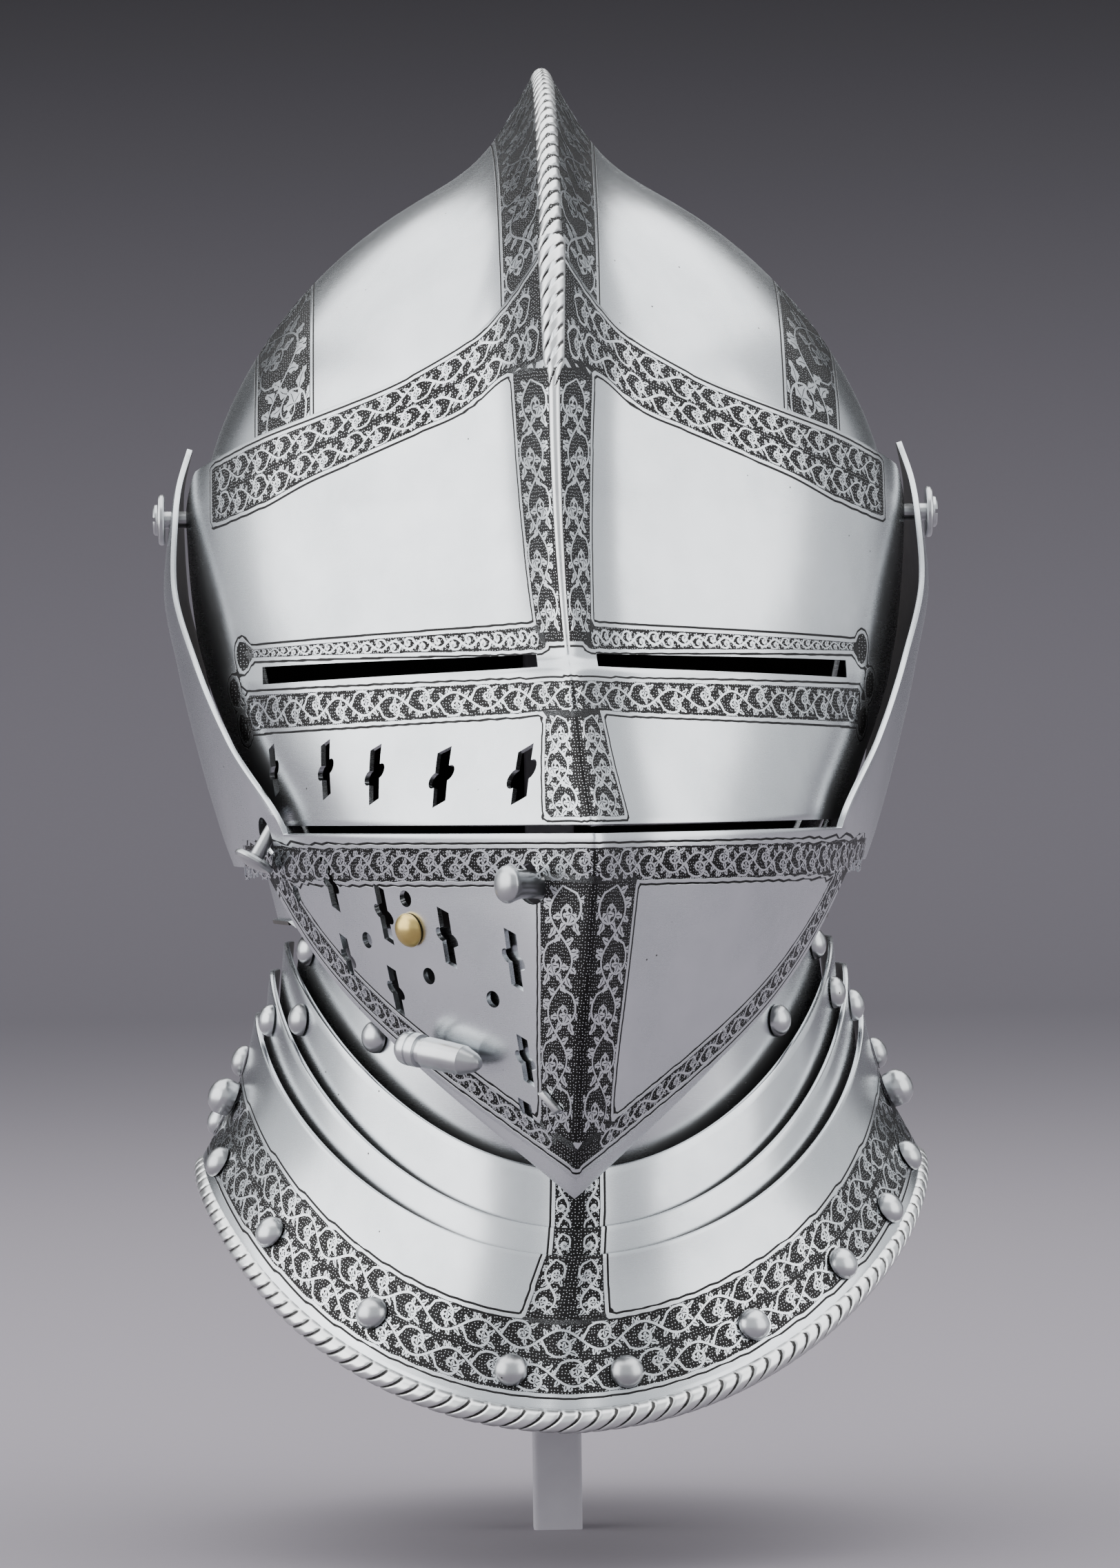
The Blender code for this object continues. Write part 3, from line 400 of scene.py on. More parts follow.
BORDER_LINE = 0.6           # black line at a band's edge, mm
BORDER = 1.5                # and the bright fillet inside it, to where the stippled ground begins
STIPPLE = 0.85              # from dot to dot
steel = polished_steel("burnished_steel", "#d6d9dc", "#c3c7ca", 0.2)
etched_steel = polished_steel("etched_burnished_steel", "#d6d9dc", "#c3c7ca", 0.2, etched=True)


def filed_steel():
    """Steel filed bright on the strands of a rope, with painted shade in the grooves between them."""
    finish, tree, shader, mm = new_finish("filed_bright_steel")
    groove = add_node(tree, "ShaderNodeAttribute", {"attribute_name": "groove"})
    wear_and_shade_noise = add_node(tree, "ShaderNodeTexNoise", {"Scale": 1 / 2.5, "Detail": 3.0}, {"Vector": mm})
    groove_shade_jitter = add_node(tree, "ShaderNodeMapRange",
                   {"From Min": 0.3, "From Max": 0.7, "To Min": -0.12, "To Max": 0.12}, {"Value": wear_and_shade_noise})
    # Painted shade: where the groove mask is deep the rope is coloured near black and made less metallic.
    deep = add_node(tree, "ShaderNodeMath", {"operation": "ADD"}, {0: groove.outputs["Fac"], 1: groove_shade_jitter})
    groove_shade = add_node(tree, "ShaderNodeMapRange", {"From Min": 0.35, "From Max": 0.6}, {"Value": deep})
    colour = add_node(tree, "ShaderNodeMix",
                      {"data_type": "RGBA", 6: hex_colour("#dcdddd"), 7: hex_colour("#1d1b19")},
                      {0: groove_shade})
    metal = add_node(tree, "ShaderNodeMath", {"operation": "MULTIPLY_ADD", 1: -0.8, 2: 1.0}, {0: groove_shade})
    rough = add_node(tree, "ShaderNodeMapRange", {"To Min": 0.22, "To Max": 0.4}, {"Value": wear_and_shade_noise})
    set_up(tree, shader, links={"Base Color": colour.outputs[2], "Metallic": metal, "Roughness": rough})
    return finish


rope_steel = filed_steel()


def hammered_iron():
    """The inside of a plate, black from the forge and rough from the hammer, never polished."""
    finish, tree, shader, mm = new_finish("black_from_the_hammer")
    scale = add_node(tree, "ShaderNodeTexNoise", {"Scale": 1 / 7, "Detail": 4.0}, {"Vector": mm})
    colour = add_node(tree, "ShaderNodeMix",
                      {"data_type": "RGBA", 6: hex_colour("#4c4a48"), 7: hex_colour("#615d59")},
                      {0: scale})
    dent = add_node(tree, "ShaderNodeBump", {"Strength": 0.6, "Distance": 0.2 * MM}, {"Height": scale})
    set_up(tree, shader, {"Metallic": 0.8, "Roughness": 0.5},
           {"Base Color": colour.outputs[2], "Normal": dent})
    return finish


forge_black = hammered_iron()


def upright(x, low, high):
    """Points along a band's two edges, one above the other, at distances from the middle."""
    x = np.asarray(x, float)
    return tuple(np.stack([x, np.broadcast_to(edge, x.shape)], -1) for edge in (low, high))


def level(z, half):
    """Points along the two edges of a band that runs down over the ridge."""
    z = np.asarray(z, float)
    return np.stack([-half + 0 * z, z], -1), np.stack([half + 0 * z, z], -1)


def etched_band(face, low, high, across=15, run_on=0.0):
    """The run of an etched band over a plate's face, from points along its lower and its upper edge.

    It is kept as a grid of points and normals, evenly spaced across, with its length and its widths in
    mm. run_on is how far past its ends its ground carries on, where it meets another band."""
    low, high = np.asarray(low, float), np.asarray(high, float)
    share = np.linspace(0, 1, 61)
    rows, widths = [], []
    for start, end in zip(low, high):
        line = face(start[0] + (end[0] - start[0]) * share, start[1] + (end[1] - start[1]) * share)
        arc = np.concatenate([[0.0], np.cumsum(np.linalg.norm(np.diff(line, axis=0), axis=1))])
        even = np.linspace(0, arc[-1], across)
        rows.append(np.stack([np.interp(even, arc, line[:, k]) for k in range(3)], axis=-1))
        widths.append(arc[-1])
    points = np.array(rows)
    middle = points[:, across // 2]
    along = np.concatenate([[0.0], np.cumsum(np.linalg.norm(np.diff(middle, axis=0), axis=1))])
    run_s, run_t = np.gradient(points, axis=0), np.gradient(points, axis=1)
    normal = np.cross(run_s, run_t)
    normal /= np.maximum(np.linalg.norm(normal, axis=-1, keepdims=True), 1e-9)
    outward = points - np.array([0.0, PIVOT[1] / MM, PIVOT[2] / MM - 40.0])
    if (normal * outward).sum() < 0:
        normal = -normal
    return {"points": points, "normals": normal, "along": along, "widths": np.array(widths),
            "run_on": run_on, "step_s": run_s / np.gradient(along)[:, None, None], "step_t": run_t}


OUTSIDE = -20.0             # stands for a point that is in no band, mm
LAY_APART = 40.0            # from one band's stipple to the next one's, so that they don't repeat


def mark_bands(piece, bands, discs=()):
    """Writes on each point of a plate how far it is inside the nearest etched band, and where along it.

    Bands that touch run into each other. discs are round fields: their middle on the face, and their
    radius."""
    count = len(piece.data.vertices)
    points = np.empty(count * 3)
    piece.data.vertices.foreach_get("co", points)
    points = points.reshape(-1, 3) / MM
    inside = np.full(count, OUTSIDE)
    lay = np.zeros((count, 3))
    for number, band in enumerate(bands):
        rows, across = band["points"].shape[:2]
        grid = band["points"].reshape(-1, 3)
        tree = KDTree(rows * across)
        for i, p in enumerate(grid):
            tree.insert(p, i)
        tree.balance()
        close = np.all((points > grid.min(0) - 4) & (points < grid.max(0) + 4), axis=1)
        if not close.any():
            continue
        near = np.array([tree.find(p)[1] for p in points[close]])
        i, j = near // across, near % across
        offset = points[close] - band["points"][i, j]
        step_s, step_t = band["step_s"][i, j], band["step_t"][i, j]
        s = band["along"][i] + (offset * step_s).sum(1) / (step_s ** 2).sum(1)
        t_step = band["widths"][i] / (across - 1)
        t = (j - (across - 1) / 2) * t_step + (offset * step_t).sum(1) / np.linalg.norm(step_t, axis=1)
        end = np.minimum(s, band["along"][-1] - s) + band["run_on"]
        edge = np.minimum(band["widths"][i] / 2 - np.abs(t), end)
        depth = (offset * band["normals"][i, j]).sum(1)
        edge = np.where((depth < -0.8) | (np.linalg.norm(offset, axis=1) > 6.0), OUTSIDE, edge)
        found = np.full(count, OUTSIDE)
        found[close] = edge
        where = np.zeros((count, 3))
        where[close] = np.stack([s, t + LAY_APART * number, 0 * s], axis=-1)
        lay = np.where((found > inside)[:, None], where, lay)
        inside = np.maximum(inside, found)
    for middle, radius in discs:
        offset = points - middle
        edge = radius - np.linalg.norm(offset, axis=1)
        lay = np.where((edge > inside)[:, None], offset[:, [0, 2, 1]], lay)
        inside = np.maximum(inside, edge)
    held = piece.data.attributes.new("band_mm", "FLOAT", "POINT")
    held.data.foreach_set("value", np.maximum(inside, -3.0))
    held = piece.data.attributes.new("lay_mm", "FLOAT_VECTOR", "POINT")
    held.data.foreach_set("vector", lay.ravel())


def lay_on(band, s, t, lift):
    """Points lifted off a band, at s mm along it and t mm from its middle where it has its mean width.

    Where it is wider or narrower, t is stretched or squeezed, but never on to its border."""
    rows, across = band["points"].shape[:2]
    row = np.clip(np.interp(s, band["along"], np.arange(rows)), 0, rows - 1.001)
    width = np.interp(s, band["along"], band["widths"])
    inner = np.maximum(width / 2 - BORDER - 0.15, 0.2)
    t = np.clip(t * width / band["widths"].mean(), -inner, inner)
    column = np.clip((t / width + 0.5) * (across - 1), 0, across - 1.001)
    i, j = row.astype(int), column.astype(int)
    a, b = (row - i)[:, None], (column - j)[:, None]

    def mix(grid):
        return ((grid[i, j] * (1 - a) + grid[i + 1, j] * a) * (1 - b)
                + (grid[i, j + 1] * (1 - a) + grid[i + 1, j + 1] * a) * b)
    return mix(band["points"]) + mix(band["normals"]) * lift


RELIEF = 0.07               # the ornament stands this far proud of its etched ground, mm
STEM = 0.31                 # half the breadth of a stem
VEIN = 0.13                 # half the breadth of the slit along a leaf
CURL_TURNS = 1.3            # how many times a branch curls round


def leaf(base, heading, length, bend, breadth):
    """The two halves of a lobed leaf, each as its inner and outer edge in mm along and across a band."""
    u = np.linspace(0, 1, 6)
    angle = heading + bend * u
    step = length / (len(u) - 1)
    spine = np.asarray(base) + np.concatenate([[[0, 0]], np.cumsum(
        np.stack([np.cos(angle[:-1]), np.sin(angle[:-1])], -1) * step, axis=0)])
    side = np.stack([-np.sin(angle), np.cos(angle)], -1)
    ahead = np.stack([np.cos(angle), np.sin(angle)], -1)
    lobes = 0.74 + 0.26 * np.cos(2 * math.pi * (3 * u - 0.45))
    half = breadth * np.minimum(1.0, 0.25 + 5 * u) * (1.0 - u) ** 0.6 * lobes * 1.25 + 0.03
    gap = np.minimum(VEIN * (u < 0.8), half * 0.6)
    reach = (half * 0.55)[:, None] * ahead
    return [(spine + side * gap[:, None] * sign, spine + side * half[:, None] * sign + reach)
            for sign in (1, -1)]


def stem(points):
    """A stem along points in mm along and across a band, tapering at its tip, as its two edges."""
    points = np.asarray(points, float)
    ahead = np.gradient(points, axis=0)
    ahead /= np.maximum(np.linalg.norm(ahead, axis=1, keepdims=True), 1e-9)
    side = np.stack([-ahead[:, 1], ahead[:, 0]], -1)
    taper = np.interp(np.linspace(0, 1, len(points)), [0, 0.7, 1], [1, 0.9, 0.5])[:, None]
    return points - side * STEM * taper, points + side * STEM * taper


def scroll_of_leaves(start, end, low, high, way=1):
    """Running scrollwork that fills a strip of a band, from start to end along it and from low to high
    across it.

    A waved stem throws a curled branch into each of its hollows, set with lobed leaves and ending in
    three."""
    middle, inner = (low + high) / 2, (high - low) / 2
    count = max(1, round((end - start) / ((1.9 if inner > 4.5 else 2.4) * inner)))
    cell = (end - start) / count
    pieces = []

    def curl_radius(share):
        return 0.58 * inner * (1 - 0.72 * share) + (0.54 * cell - 0.58 * inner) * np.exp(-9 * share)

    def put(edges):
        for edge in edges:
            edge[:, 1] = (np.clip(edge[:, 1], -inner, inner) + middle) * way
            edge[:, 0] = np.clip(edge[:, 0], 0, end - start) + start
        pieces.append(edges)

    s = np.linspace(0, count * cell, count * 8 + 1)
    put(stem(np.stack([s, 0.6 * inner * np.sin(math.pi * s / cell)], -1)))
    for k in range(count):
        flip = 1 if k % 2 == 0 else -1
        centre = np.array([(k + 0.54) * cell, -0.3 * inner])
        run = np.linspace(0, 1, 18)
        turn = math.pi + 2 * math.pi * CURL_TURNS * run
        radius = curl_radius(run)
        curl = centre + np.stack([np.cos(turn), np.sin(turn)], -1) * radius[:, None]
        curl[0, 1] = 0.0
        flipped = np.array([1, flip])
        put(stem(curl * flipped))
        tip = centre + np.array([math.cos(turn[-1]), math.sin(turn[-1])]) * radius[-1]
        for lean, size in ((1.0, 0.4), (-0.1, 0.46), (-1.3, 0.36)):
            for half in leaf(tip, turn[-1] + math.pi / 2 + lean, size * inner, 0.5, 0.17 * inner):
                put([edge * flipped for edge in half])
        for at, lean, size in ((1.25, -0.6, 0.48), (1.5, -0.8, 0.56), (1.75, -0.9, 0.56),
                               (2.05, -0.6, 0.5), (2.35, -0.8, 0.42), (2.75, 0.9, 0.28)):
            there = math.pi * at
            far = curl_radius((there - math.pi) / (2 * math.pi * CURL_TURNS))
            base = centre + np.array([math.cos(there), math.sin(there)]) * far
            heading = there + math.pi / 2 + lean
            for half in leaf(base, heading, size * inner, -0.9, 0.17 * inner):
                put([edge * flipped for edge in half])
        for at, heading, bend, size in ((0.12, 1.6, 1.1, 0.44), (0.3, 1.3, 1.1, 0.42),
                                        (0.8, 0.2, 1.1, 0.56), (0.95, 0.4, 0.9, 0.44),
                                        (0.45, 2.3, -0.9, 0.34), (0.62, 0.6, 0.8, 0.34)):
            base = np.array([(k + at) * cell, 0.6 * inner * math.sin(math.pi * at)])
            for half in leaf(base, heading, size * inner, bend, 0.16 * inner):
                put([edge * flipped for edge in half])
    return pieces


def engrave(name, body, work):
    """One piece of raised ornament from pairs of a band and the strips laid on it."""
    points, faces = [], []
    for band, strips in work:
        left = np.concatenate([strip[0] for strip in strips])
        right = np.concatenate([strip[1] for strip in strips])
        corners = np.stack([lay_on(band, edge[:, 0], edge[:, 1], lift) for edge, lift in (
            (left, RELIEF), (right, RELIEF), ((left + right) / 2, -0.3))], axis=1)
        for strip in strips:
            faces += loft_faces(len(strip[0]), 3, len(points))
            points += corners[:len(strip[0])].reshape(-1, 3).tolist()
            corners = corners[len(strip[0]):]
    piece = new_piece(name, points, faces, [steel])
    weld(piece)
    smooth(piece)
    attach(piece, body)
    return piece


def dress(piece, body, *nodes, slot="etched_steel"):
    """Puts a finished piece on its body in place of the plain solids."""
    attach(piece, body)
    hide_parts(*nodes)


STRAND = 4.9                # from groove to groove of a rope, mm along it
GROOVE_WIDTH = 0.55         # how fast a groove's sides rise
GROOVE_DEPTH = 0.6


def rope(name, body, crest, out, side, radius, strand, rise, plain=None, wrap=125.0, tall=1.0):
    """A turned or beaten roll with file-cut rope strands, along a crest.

    crest, out and side are rows of points and directions; radius and strand are in mm, and rise is how
    far a strand climbs on its way over the roll. plain, if given, says from where along it the roll is
    left uncut; wrap is how far round from its crest the roll goes, in degrees, and tall its depth over
    its breadth."""
    turn = np.radians(np.linspace(-wrap, wrap, 17))
    arc = np.concatenate([[0.0], np.cumsum(np.linalg.norm(np.diff(crest, axis=0), axis=1))])
    row = np.arange(-abs(rise) / 2, arc[-1] + abs(rise) / 2 + strand / 12, strand / 12)[:, None]
    s = np.clip(row - np.sin(turn) * rise / 2, 0.0, arc[-1])

    def at(rows):
        return np.stack([np.interp(s, arc, rows[:, k]) for k in range(3)], axis=-1)
    size = np.interp(s, arc, np.broadcast_to(radius, arc.shape))[..., None]
    away = np.abs(row / strand - np.round(row / strand)) * strand
    fade = np.clip((wrap * 0.66 - np.degrees(np.abs(turn))) / 14.0, 0.0, 1.0)
    deep = np.exp(-(away / GROOVE_WIDTH) ** 2) * fade
    deep = deep * ((s > 0.1) & (s < (arc[-1] - 0.1 if plain is None else plain)))
    reach = size - GROOVE_DEPTH * deep[..., None]
    up, across = np.cos(turn)[None, :, None], np.sin(turn)[None, :, None]
    ring = at(crest) + tall * (up * reach - size) * at(out) + across * reach * at(side)
    piece = new_piece(name, ring.reshape(-1, 3), loft_faces(len(row), len(turn)), [rope_steel])
    # The groove mask also places the painted shade in the rope's finish.
    held = piece.data.attributes.new("groove", "FLOAT", "POINT")
    held.data.foreach_set("value", deep.ravel())
    weld(piece)
    smooth(piece, 50.0)
    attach(piece, body)
    return piece


def crest_frames(crest, low, high):
    """A crest with its outward and sideways directions, from a face's points either side of it."""
    ahead = np.gradient(crest, axis=0)
    side = high - low
    side /= np.linalg.norm(side, axis=1, keepdims=True)
    out = np.cross(ahead, side)
    out /= np.linalg.norm(out, axis=1, keepdims=True)
    middle = np.array([0.0, PIVOT[1] / MM, PIVOT[2] / MM - 20.0])
    if (out * (crest - middle)).sum() < 0:
        out = -out
    return crest, out, side


def build_skull():
    across = both_sides(90.0 * np.linspace(0, 1, 62) ** 1.2)
    turns = np.linspace(0, 180, 121)
    start = BROW_TURN * (1.0 - np.minimum(1.0, np.abs(across) / (CHEEK_SHARE * 90.0)) ** 4)
    points = [skull_face(across, start + turn * (180.0 - start) / 180.0) for turn in turns]
    faces = grid_faces(len(turns), len(across), turned_over=True)
    base = len(turns) * len(across)
    cheek_side = 90.0 * np.linspace(CHEEK_SHARE, 1.0, 20)
    downs = np.linspace(0, 1, 46)
    for down in downs:
        row = [skirt_face(-cheek_side, down, False), skirt_face(across, down),
               skirt_face(cheek_side[::-1], down, False)]
        points.append(np.concatenate(row))
    columns = len(across) + 2 * len(cheek_side)
    faces += grid_faces(len(downs), columns, base, turned_over=True)
    return beat_plate("skull_bowl", np.concatenate(points), faces, [etched_steel, forge_black],
                      SKULL_WALL, [pivot_drill("skull_drill")])


SIDE_BAND = (61.0, 77.0)    # a side band's edges, mm from the middle
turns = np.linspace(20, 268, 250)
comb_x = np.interp(turns, [20, 60, 90, 200, 268], [12.6, 13.2, 14.0, 14.0, 10.0])
comb_angle = oval_angle(comb_x, SKULL_HALF_WIDTH)
comb_band = etched_band(skull_face, *level(turns, comb_angle), 31)
side_turns = np.linspace(14, 268, 250)
side_bands = []
for side in (-1, 1):
    edges = [side * oval_angle(x, SKULL_HALF_WIDTH) + 0 * side_turns for x in SIDE_BAND]
    side_bands.append(etched_band(skull_face, *[np.stack([edge, side_turns], -1) for edge in edges]))
skull_bowl = build_skull()
mark_bands(skull_bowl, [comb_band, *side_bands])
dress(skull_bowl, "skull_body", "skull")
length = comb_band["along"][-1]
half = comb_band["widths"].mean() / 2
engrave("skull_etching", "skull_body", [
    (comb_band, scroll_of_leaves(2, length - 2, 3.4, half - BORDER - 0.2)),
    (comb_band, scroll_of_leaves(2, length - 2, 3.4, half - BORDER - 0.2, -1)),
] + [
    (band, scroll_of_leaves(2, band["along"][-1] - 2, 0.2 - band["widths"].mean() / 2 + BORDER,
                            band["widths"].mean() / 2 - BORDER - 0.2))
    for band in side_bands
])
sides = [skull_face(np.full(250, aside), turns) for aside in (-0.4, 0.4)]
crest = crest_frames(skull_face(np.zeros(250), turns), *sides)
rope("skull_rope", "skull_body", *crest, radius=3.1, strand=STRAND, rise=-7.5, tall=1.5)

# ------------------------------------------------------------------------------------------------- pivots
# Two steel screws carry visor, ventail and bevor: each has a broad turned washer under a small slotted
# head.


def turned_piece(name, frames, profile, finishes, sides=32):
    """One piece turned on a lathe, or a set of them, from frames and pairs of distance along the axis and
    radius."""
    profile = np.asarray(profile, float)
    turn = np.linspace(0, 2 * math.pi, sides, endpoint=False)
    points, faces = [], []
    for point, side, up, axis in frames:
        faces += loft_faces(len(profile), sides, len(points))
        for along, radius in profile:
            ring = np.outer(np.cos(turn), side) + np.outer(np.sin(turn), up)
            points += (point + axis * along + radius * ring).tolist()
    piece = new_piece(name, points, faces, finishes)
    weld(piece)
    smooth(piece, 30.0)
    return piece


def block(name, frame, low, high):
    """A tool with square sides, between two corners given along a frame's side, up and axis."""
    point, side, up, axis = frame
    points = [point + side * a + up * b + axis * c for c in (low[2], high[2])
              for a, b in ((low[0], low[1]), (high[0], low[1]), (high[0], high[1]), (low[0], high[1]))]
    tool = new_piece(name, points, loft_faces(2, 4), [])
    weld(tool)
    return tool


fitting_steel = polished_steel("turned_bright_steel", "#c6c8ca", "#a6a7a8", 0.24)
PIVOT_SCREW = (
    (87.8, 4.7), (88.1, 5.0), (89.1, 5.0), (89.3, 4.8), (89.3, 2.3), (102.1, 2.3), (102.1, 6.5),
    (102.4, 6.8), (103.2, 6.8), (103.6, 6.5), (103.8, 6.0), (103.9, 4.3), (104.0, 4.2), (104.7, 4.1),
    (105.1, 3.6), (105.2, 2.6),
)
for side, name in ((-1, "pivot_screw_right"), (1, "pivot_screw_left")):
    screw_frame = (place(0, 0, 0), np.array([0.0, side, 0.0]), np.array([0.0, 0.0, 1.0]),
                   np.array([side, 0.0, 0.0]))
    screw = turned_piece(name + "_slotted", [screw_frame], PIVOT_SCREW, [fitting_steel])
    cut_with(screw, [block("slot", screw_frame, (-6, -0.55, 104.4), (6, 0.55, 106))], "EXACT")
    smooth(screw, 30.0)
    dress(screw, "skull_body", name, slot="polished_steel")

# -------------------------------------------------------------------------------------------------- visor
# The visor is one plate beaten to a prow, pierced for the sights and, on the wearer's right only, with
# five lobed breaths. Its top edge lies on the skull, and its comb carries the skull's rope on down to a
# plain ridge.

VISOR = (
    (0.0, 96.4, 98.4, 25.3, 90.0),
    (-15.0, 95.6, 101.0, 23.4, 88.5),
    (-31.0, 94.0, 106.0, 21.5, 85.7),
    (-40.0, 92.7, 109.5, 20.0, 81.5),
    (-44.0, 92.2, 114.5, 19.5, 80.0),
    (-53.0, 90.5, 119.0, 18.7, 76.0),
    (-66.0, 87.6, 125.5, 18.5, 70.2),
    (-82.0, 83.5, 132.5, 18.5, 65.0),
)
VISOR_BROW = (
    (0.0, 68.0), (9.5, 53.5), (17.7, 44.6), (28.6, 37.8), (42.5, 30.9), (59.5, 25.0), (75.6, 19.8),
    (96.4, 11.0),
)
VISOR_BREATHS = (
    (-73.8, -67.5, 5.0, 12.5), (-61.0, -67.6, 5.5, 14.0), (-49.2, -69.0, 5.5, 14.0),
    (-33.1, -69.8, 5.8, 14.0), (-13.8, -69.4, 7.2, 13.5),
)
BREATH_SLANT = 0.45
# A sight's inner and its outer end: distance from the middle, upper edge, lower edge.
SIGHT_NEAR = (7.5, -39.4, -42.7)
SIGHT_FAR = (76.0, -40.6, -45.2)
WALL = 1.5


def face_of(table):
    """A plate's outer face in front, as a function of the distance from the middle and the height."""
    def face(x, z):
        half_width, reach, height = read_table(table, z)[:3]
        _, f = oval(oval_angle(x, half_width), half_width, reach)
        return place(x, f + ridge(x, height), z)
    return face


def visor_face(x, z):
    """The visor's outer face, which is turned about the pivots above them."""
    half_width, reach, height = read_table(VISOR, np.minimum(z, 0.0))[:3]
    _, f = oval(oval_angle(x, half_width), half_width, reach)
    f = f + ridge(x, height)
    above = np.maximum(z, 0.0)
    return place(x, np.sqrt(np.maximum(f * f - above * above, 0.0)), z)


def face_frame(face, x, z, rise=0.5):
    """The point, the directions across and up, and the outward normal of a plate's face at x and z.

    rise is a small step up in the units of z."""
    across = face(x + 0.5, z) - face(x - 0.5, z)
    across /= np.linalg.norm(across)
    up = face(x, z + rise) - face(x, z - rise)
    normal = np.cross(across, up)
    normal /= np.linalg.norm(normal)
    return face(x, z), across, np.cross(normal, across), normal


def breath_outline(width, length, slant=BREATH_SLANT):
    """A slanted slot with a half-round lobe on each long side, as pairs of across and up."""
    half, tall = width * 0.36, length / 2
    lobe = width * 0.33
    turn = np.radians(np.linspace(-90, 90, 9))
    right = [(half, -tall), *zip(half + lobe * np.cos(turn), lobe * np.sin(turn)), (half, tall)]
    outline = right + [(-x, -z) for x, z in right]
    return [(x, z - slant * x) for x, z in outline]


def punch(name, face, places):
    """The punches that pierce a plate, from places on its face and outlines."""
    points, faces = [], []
    for x, z, outline in places:
        point, across, up, normal = face_frame(face, x, z)
        faces += loft_faces(2, len(outline), len(points))
        for depth in (-7.0, 6.0):
            points += [(point + across * a + up * b + normal * depth).tolist() for a, b in outline]
    tool = new_piece(name, points, faces, [])
    weld(tool)
    return tool


def sight_saw():
    """The tools that open the two sights, each a narrow curved slab."""
    points, faces = [], []
    for side in (-1, 1):
        x, top, bottom = np.linspace(SIGHT_NEAR, SIGHT_FAR, 40).T
        half_width, reach, height = read_table(VISOR, (top + bottom) / 2)[:3]
        f = oval(oval_angle(x, half_width), half_width, reach)[1] + ridge(x, height)
        corners = [place(side * x, f + depth, edge) for depth, edge in (
            (-12.0, bottom), (12.0, bottom), (12.0, top), (-12.0, top))]
        faces += loft_faces(40, 4, len(points))
        points += np.stack(corners, axis=1).reshape(-1, 3).tolist()
    tool = new_piece("sight_saw", points, faces, [])
    weld(tool)
    return tool


def build_visor():
    shares = both_sides(np.linspace(0, 1, 68) ** 1.25)
    half_width, reach, height, end = read_table(VISOR, 0.0)
    x, radius = oval(shares * end, half_width, reach)
    radius = radius + ridge(x, height)
    brow = read_table(VISOR_BROW, np.abs(x))[0]
    top = np.arcsin(np.minimum(brow / np.maximum(radius, 1e-6), 0.75))
    rows = [place(x, radius * np.cos(top * rise), radius * np.sin(top * rise))
            for rise in np.linspace(1, 0, 30)[:-1]]
    for z in np.concatenate([np.linspace(0, -38, 22), np.linspace(-38.8, -45.2, 9),
                             np.linspace(-47, -82, 22)]):
        half_width, reach, height, end = read_table(VISOR, z)
        x, f = oval(shares * end, half_width, reach)
        rows.append(place(x, f + ridge(x, height), np.full(len(x), z)))
    breaths = punch("visor_breaths", face_of(VISOR), [
        (x, z, breath_outline(width, length, -BREATH_SLANT)) for x, z, width, length in VISOR_BREATHS])
    return beat_plate("visor_plate", np.concatenate(rows), grid_faces(len(rows), len(shares)),
                      [etched_steel, forge_black], WALL,
                      [pivot_drill("visor_drill"), sight_saw(), breaths])


BROW_BORDER = (
    (3.0, 33.0), (10.9, 31.0), (23.4, 22.0), (36.0, 17.0), (48.6, 11.8), (62.0, 6.5), (74.8, 0.5),
    (88.0, -4.0),
)
brow_bands = []
for side in (-1, 1):
    x = np.linspace(3.0, 88.0, 90)
    low, high = upright(side * x, read_table(BROW_BORDER, x)[0], read_table(VISOR_BROW, x)[0] - 0.9)
    brow_bands.append(etched_band(visor_face, low, high, run_on=3.0))
z = np.linspace(31.0, -35.0, 70)
ridge_band = etched_band(visor_face, *level(z, np.interp(z, [-33, 31], [7.8, 10.9])), 25, run_on=3.0)
sight_bands = []
for side in (-1, 1):
    x = np.linspace(6.0, 79.0, 76)
    sight_bands.append(etched_band(visor_face,
                                   *upright(side * x, -39.6, np.interp(x, [8, 79], [-31.1, -34.5])),
                                   run_on=3.0))
x = np.linspace(-80.0, 80.0, 150)
lower_band = etched_band(visor_face, *upright(x, np.interp(np.abs(x), [0, 80], [-55.0, -58.5]),
                                              np.interp(np.abs(x), [0, 80], [-44.9, -46.5])), run_on=2.0)
z = np.linspace(-54.0, -81.0, 28)
nose_band = etched_band(visor_face, *level(z, np.interp(z, [-81, -54], [11.0, 7.7])), 25, run_on=0.5)
lobes = [
    (visor_face(np.array(side * x), np.array(z)), radius)
    for side in (-1, 1) for x, z, radius in ((81.0, -37.5, 5.6), (83.5, -47.0, 5.4), (81.0, -56.5, 5.6))
]
visor_plate = build_visor()
mark_bands(visor_plate, [*brow_bands, ridge_band, *sight_bands, lower_band, nose_band], lobes)
dress(visor_plate, "visor_body", "visor")


def along_band(band, start=1.0, count=1):
    """Scrollwork along the whole of a band, in one run or, over a ridge or on a broad band, in two side
    by side."""
    half = band["widths"].mean() / 2 - BORDER - 0.2
    length = band["along"][-1] - 1.0
    if count == 1 and half > 7.5:
        return [(band, scroll_of_leaves(start, length, -half, -0.15)),
                (band, scroll_of_leaves(start + 4.0, length, 0.15, half))]
    if count == 1:
        return [(band, scroll_of_leaves(start, length, -half, half))]
    return [(band, scroll_of_leaves(start, length, 1.6, half, way)) for way in (1, -1)]


engrave("visor_etching", "visor_body", [
    *along_band(brow_bands[0]), *along_band(brow_bands[1]), *along_band(ridge_band, count=2),
    *along_band(sight_bands[0]), *along_band(sight_bands[1]), *along_band(lower_band),
    *along_band(nose_band, count=2),
])
z = np.linspace(67.3, -38.0, 200)
crest = crest_frames(*[visor_face(0 * z + aside, z) for aside in (0.0, -0.4, 0.4)])
rope("visor_rope", "visor_body", *crest, radius=np.interp(z, [-38, 31, 35, 68], [0.9, 1.5, 2.7, 3.6]),
     strand=STRAND, rise=7.5, plain=43.0)

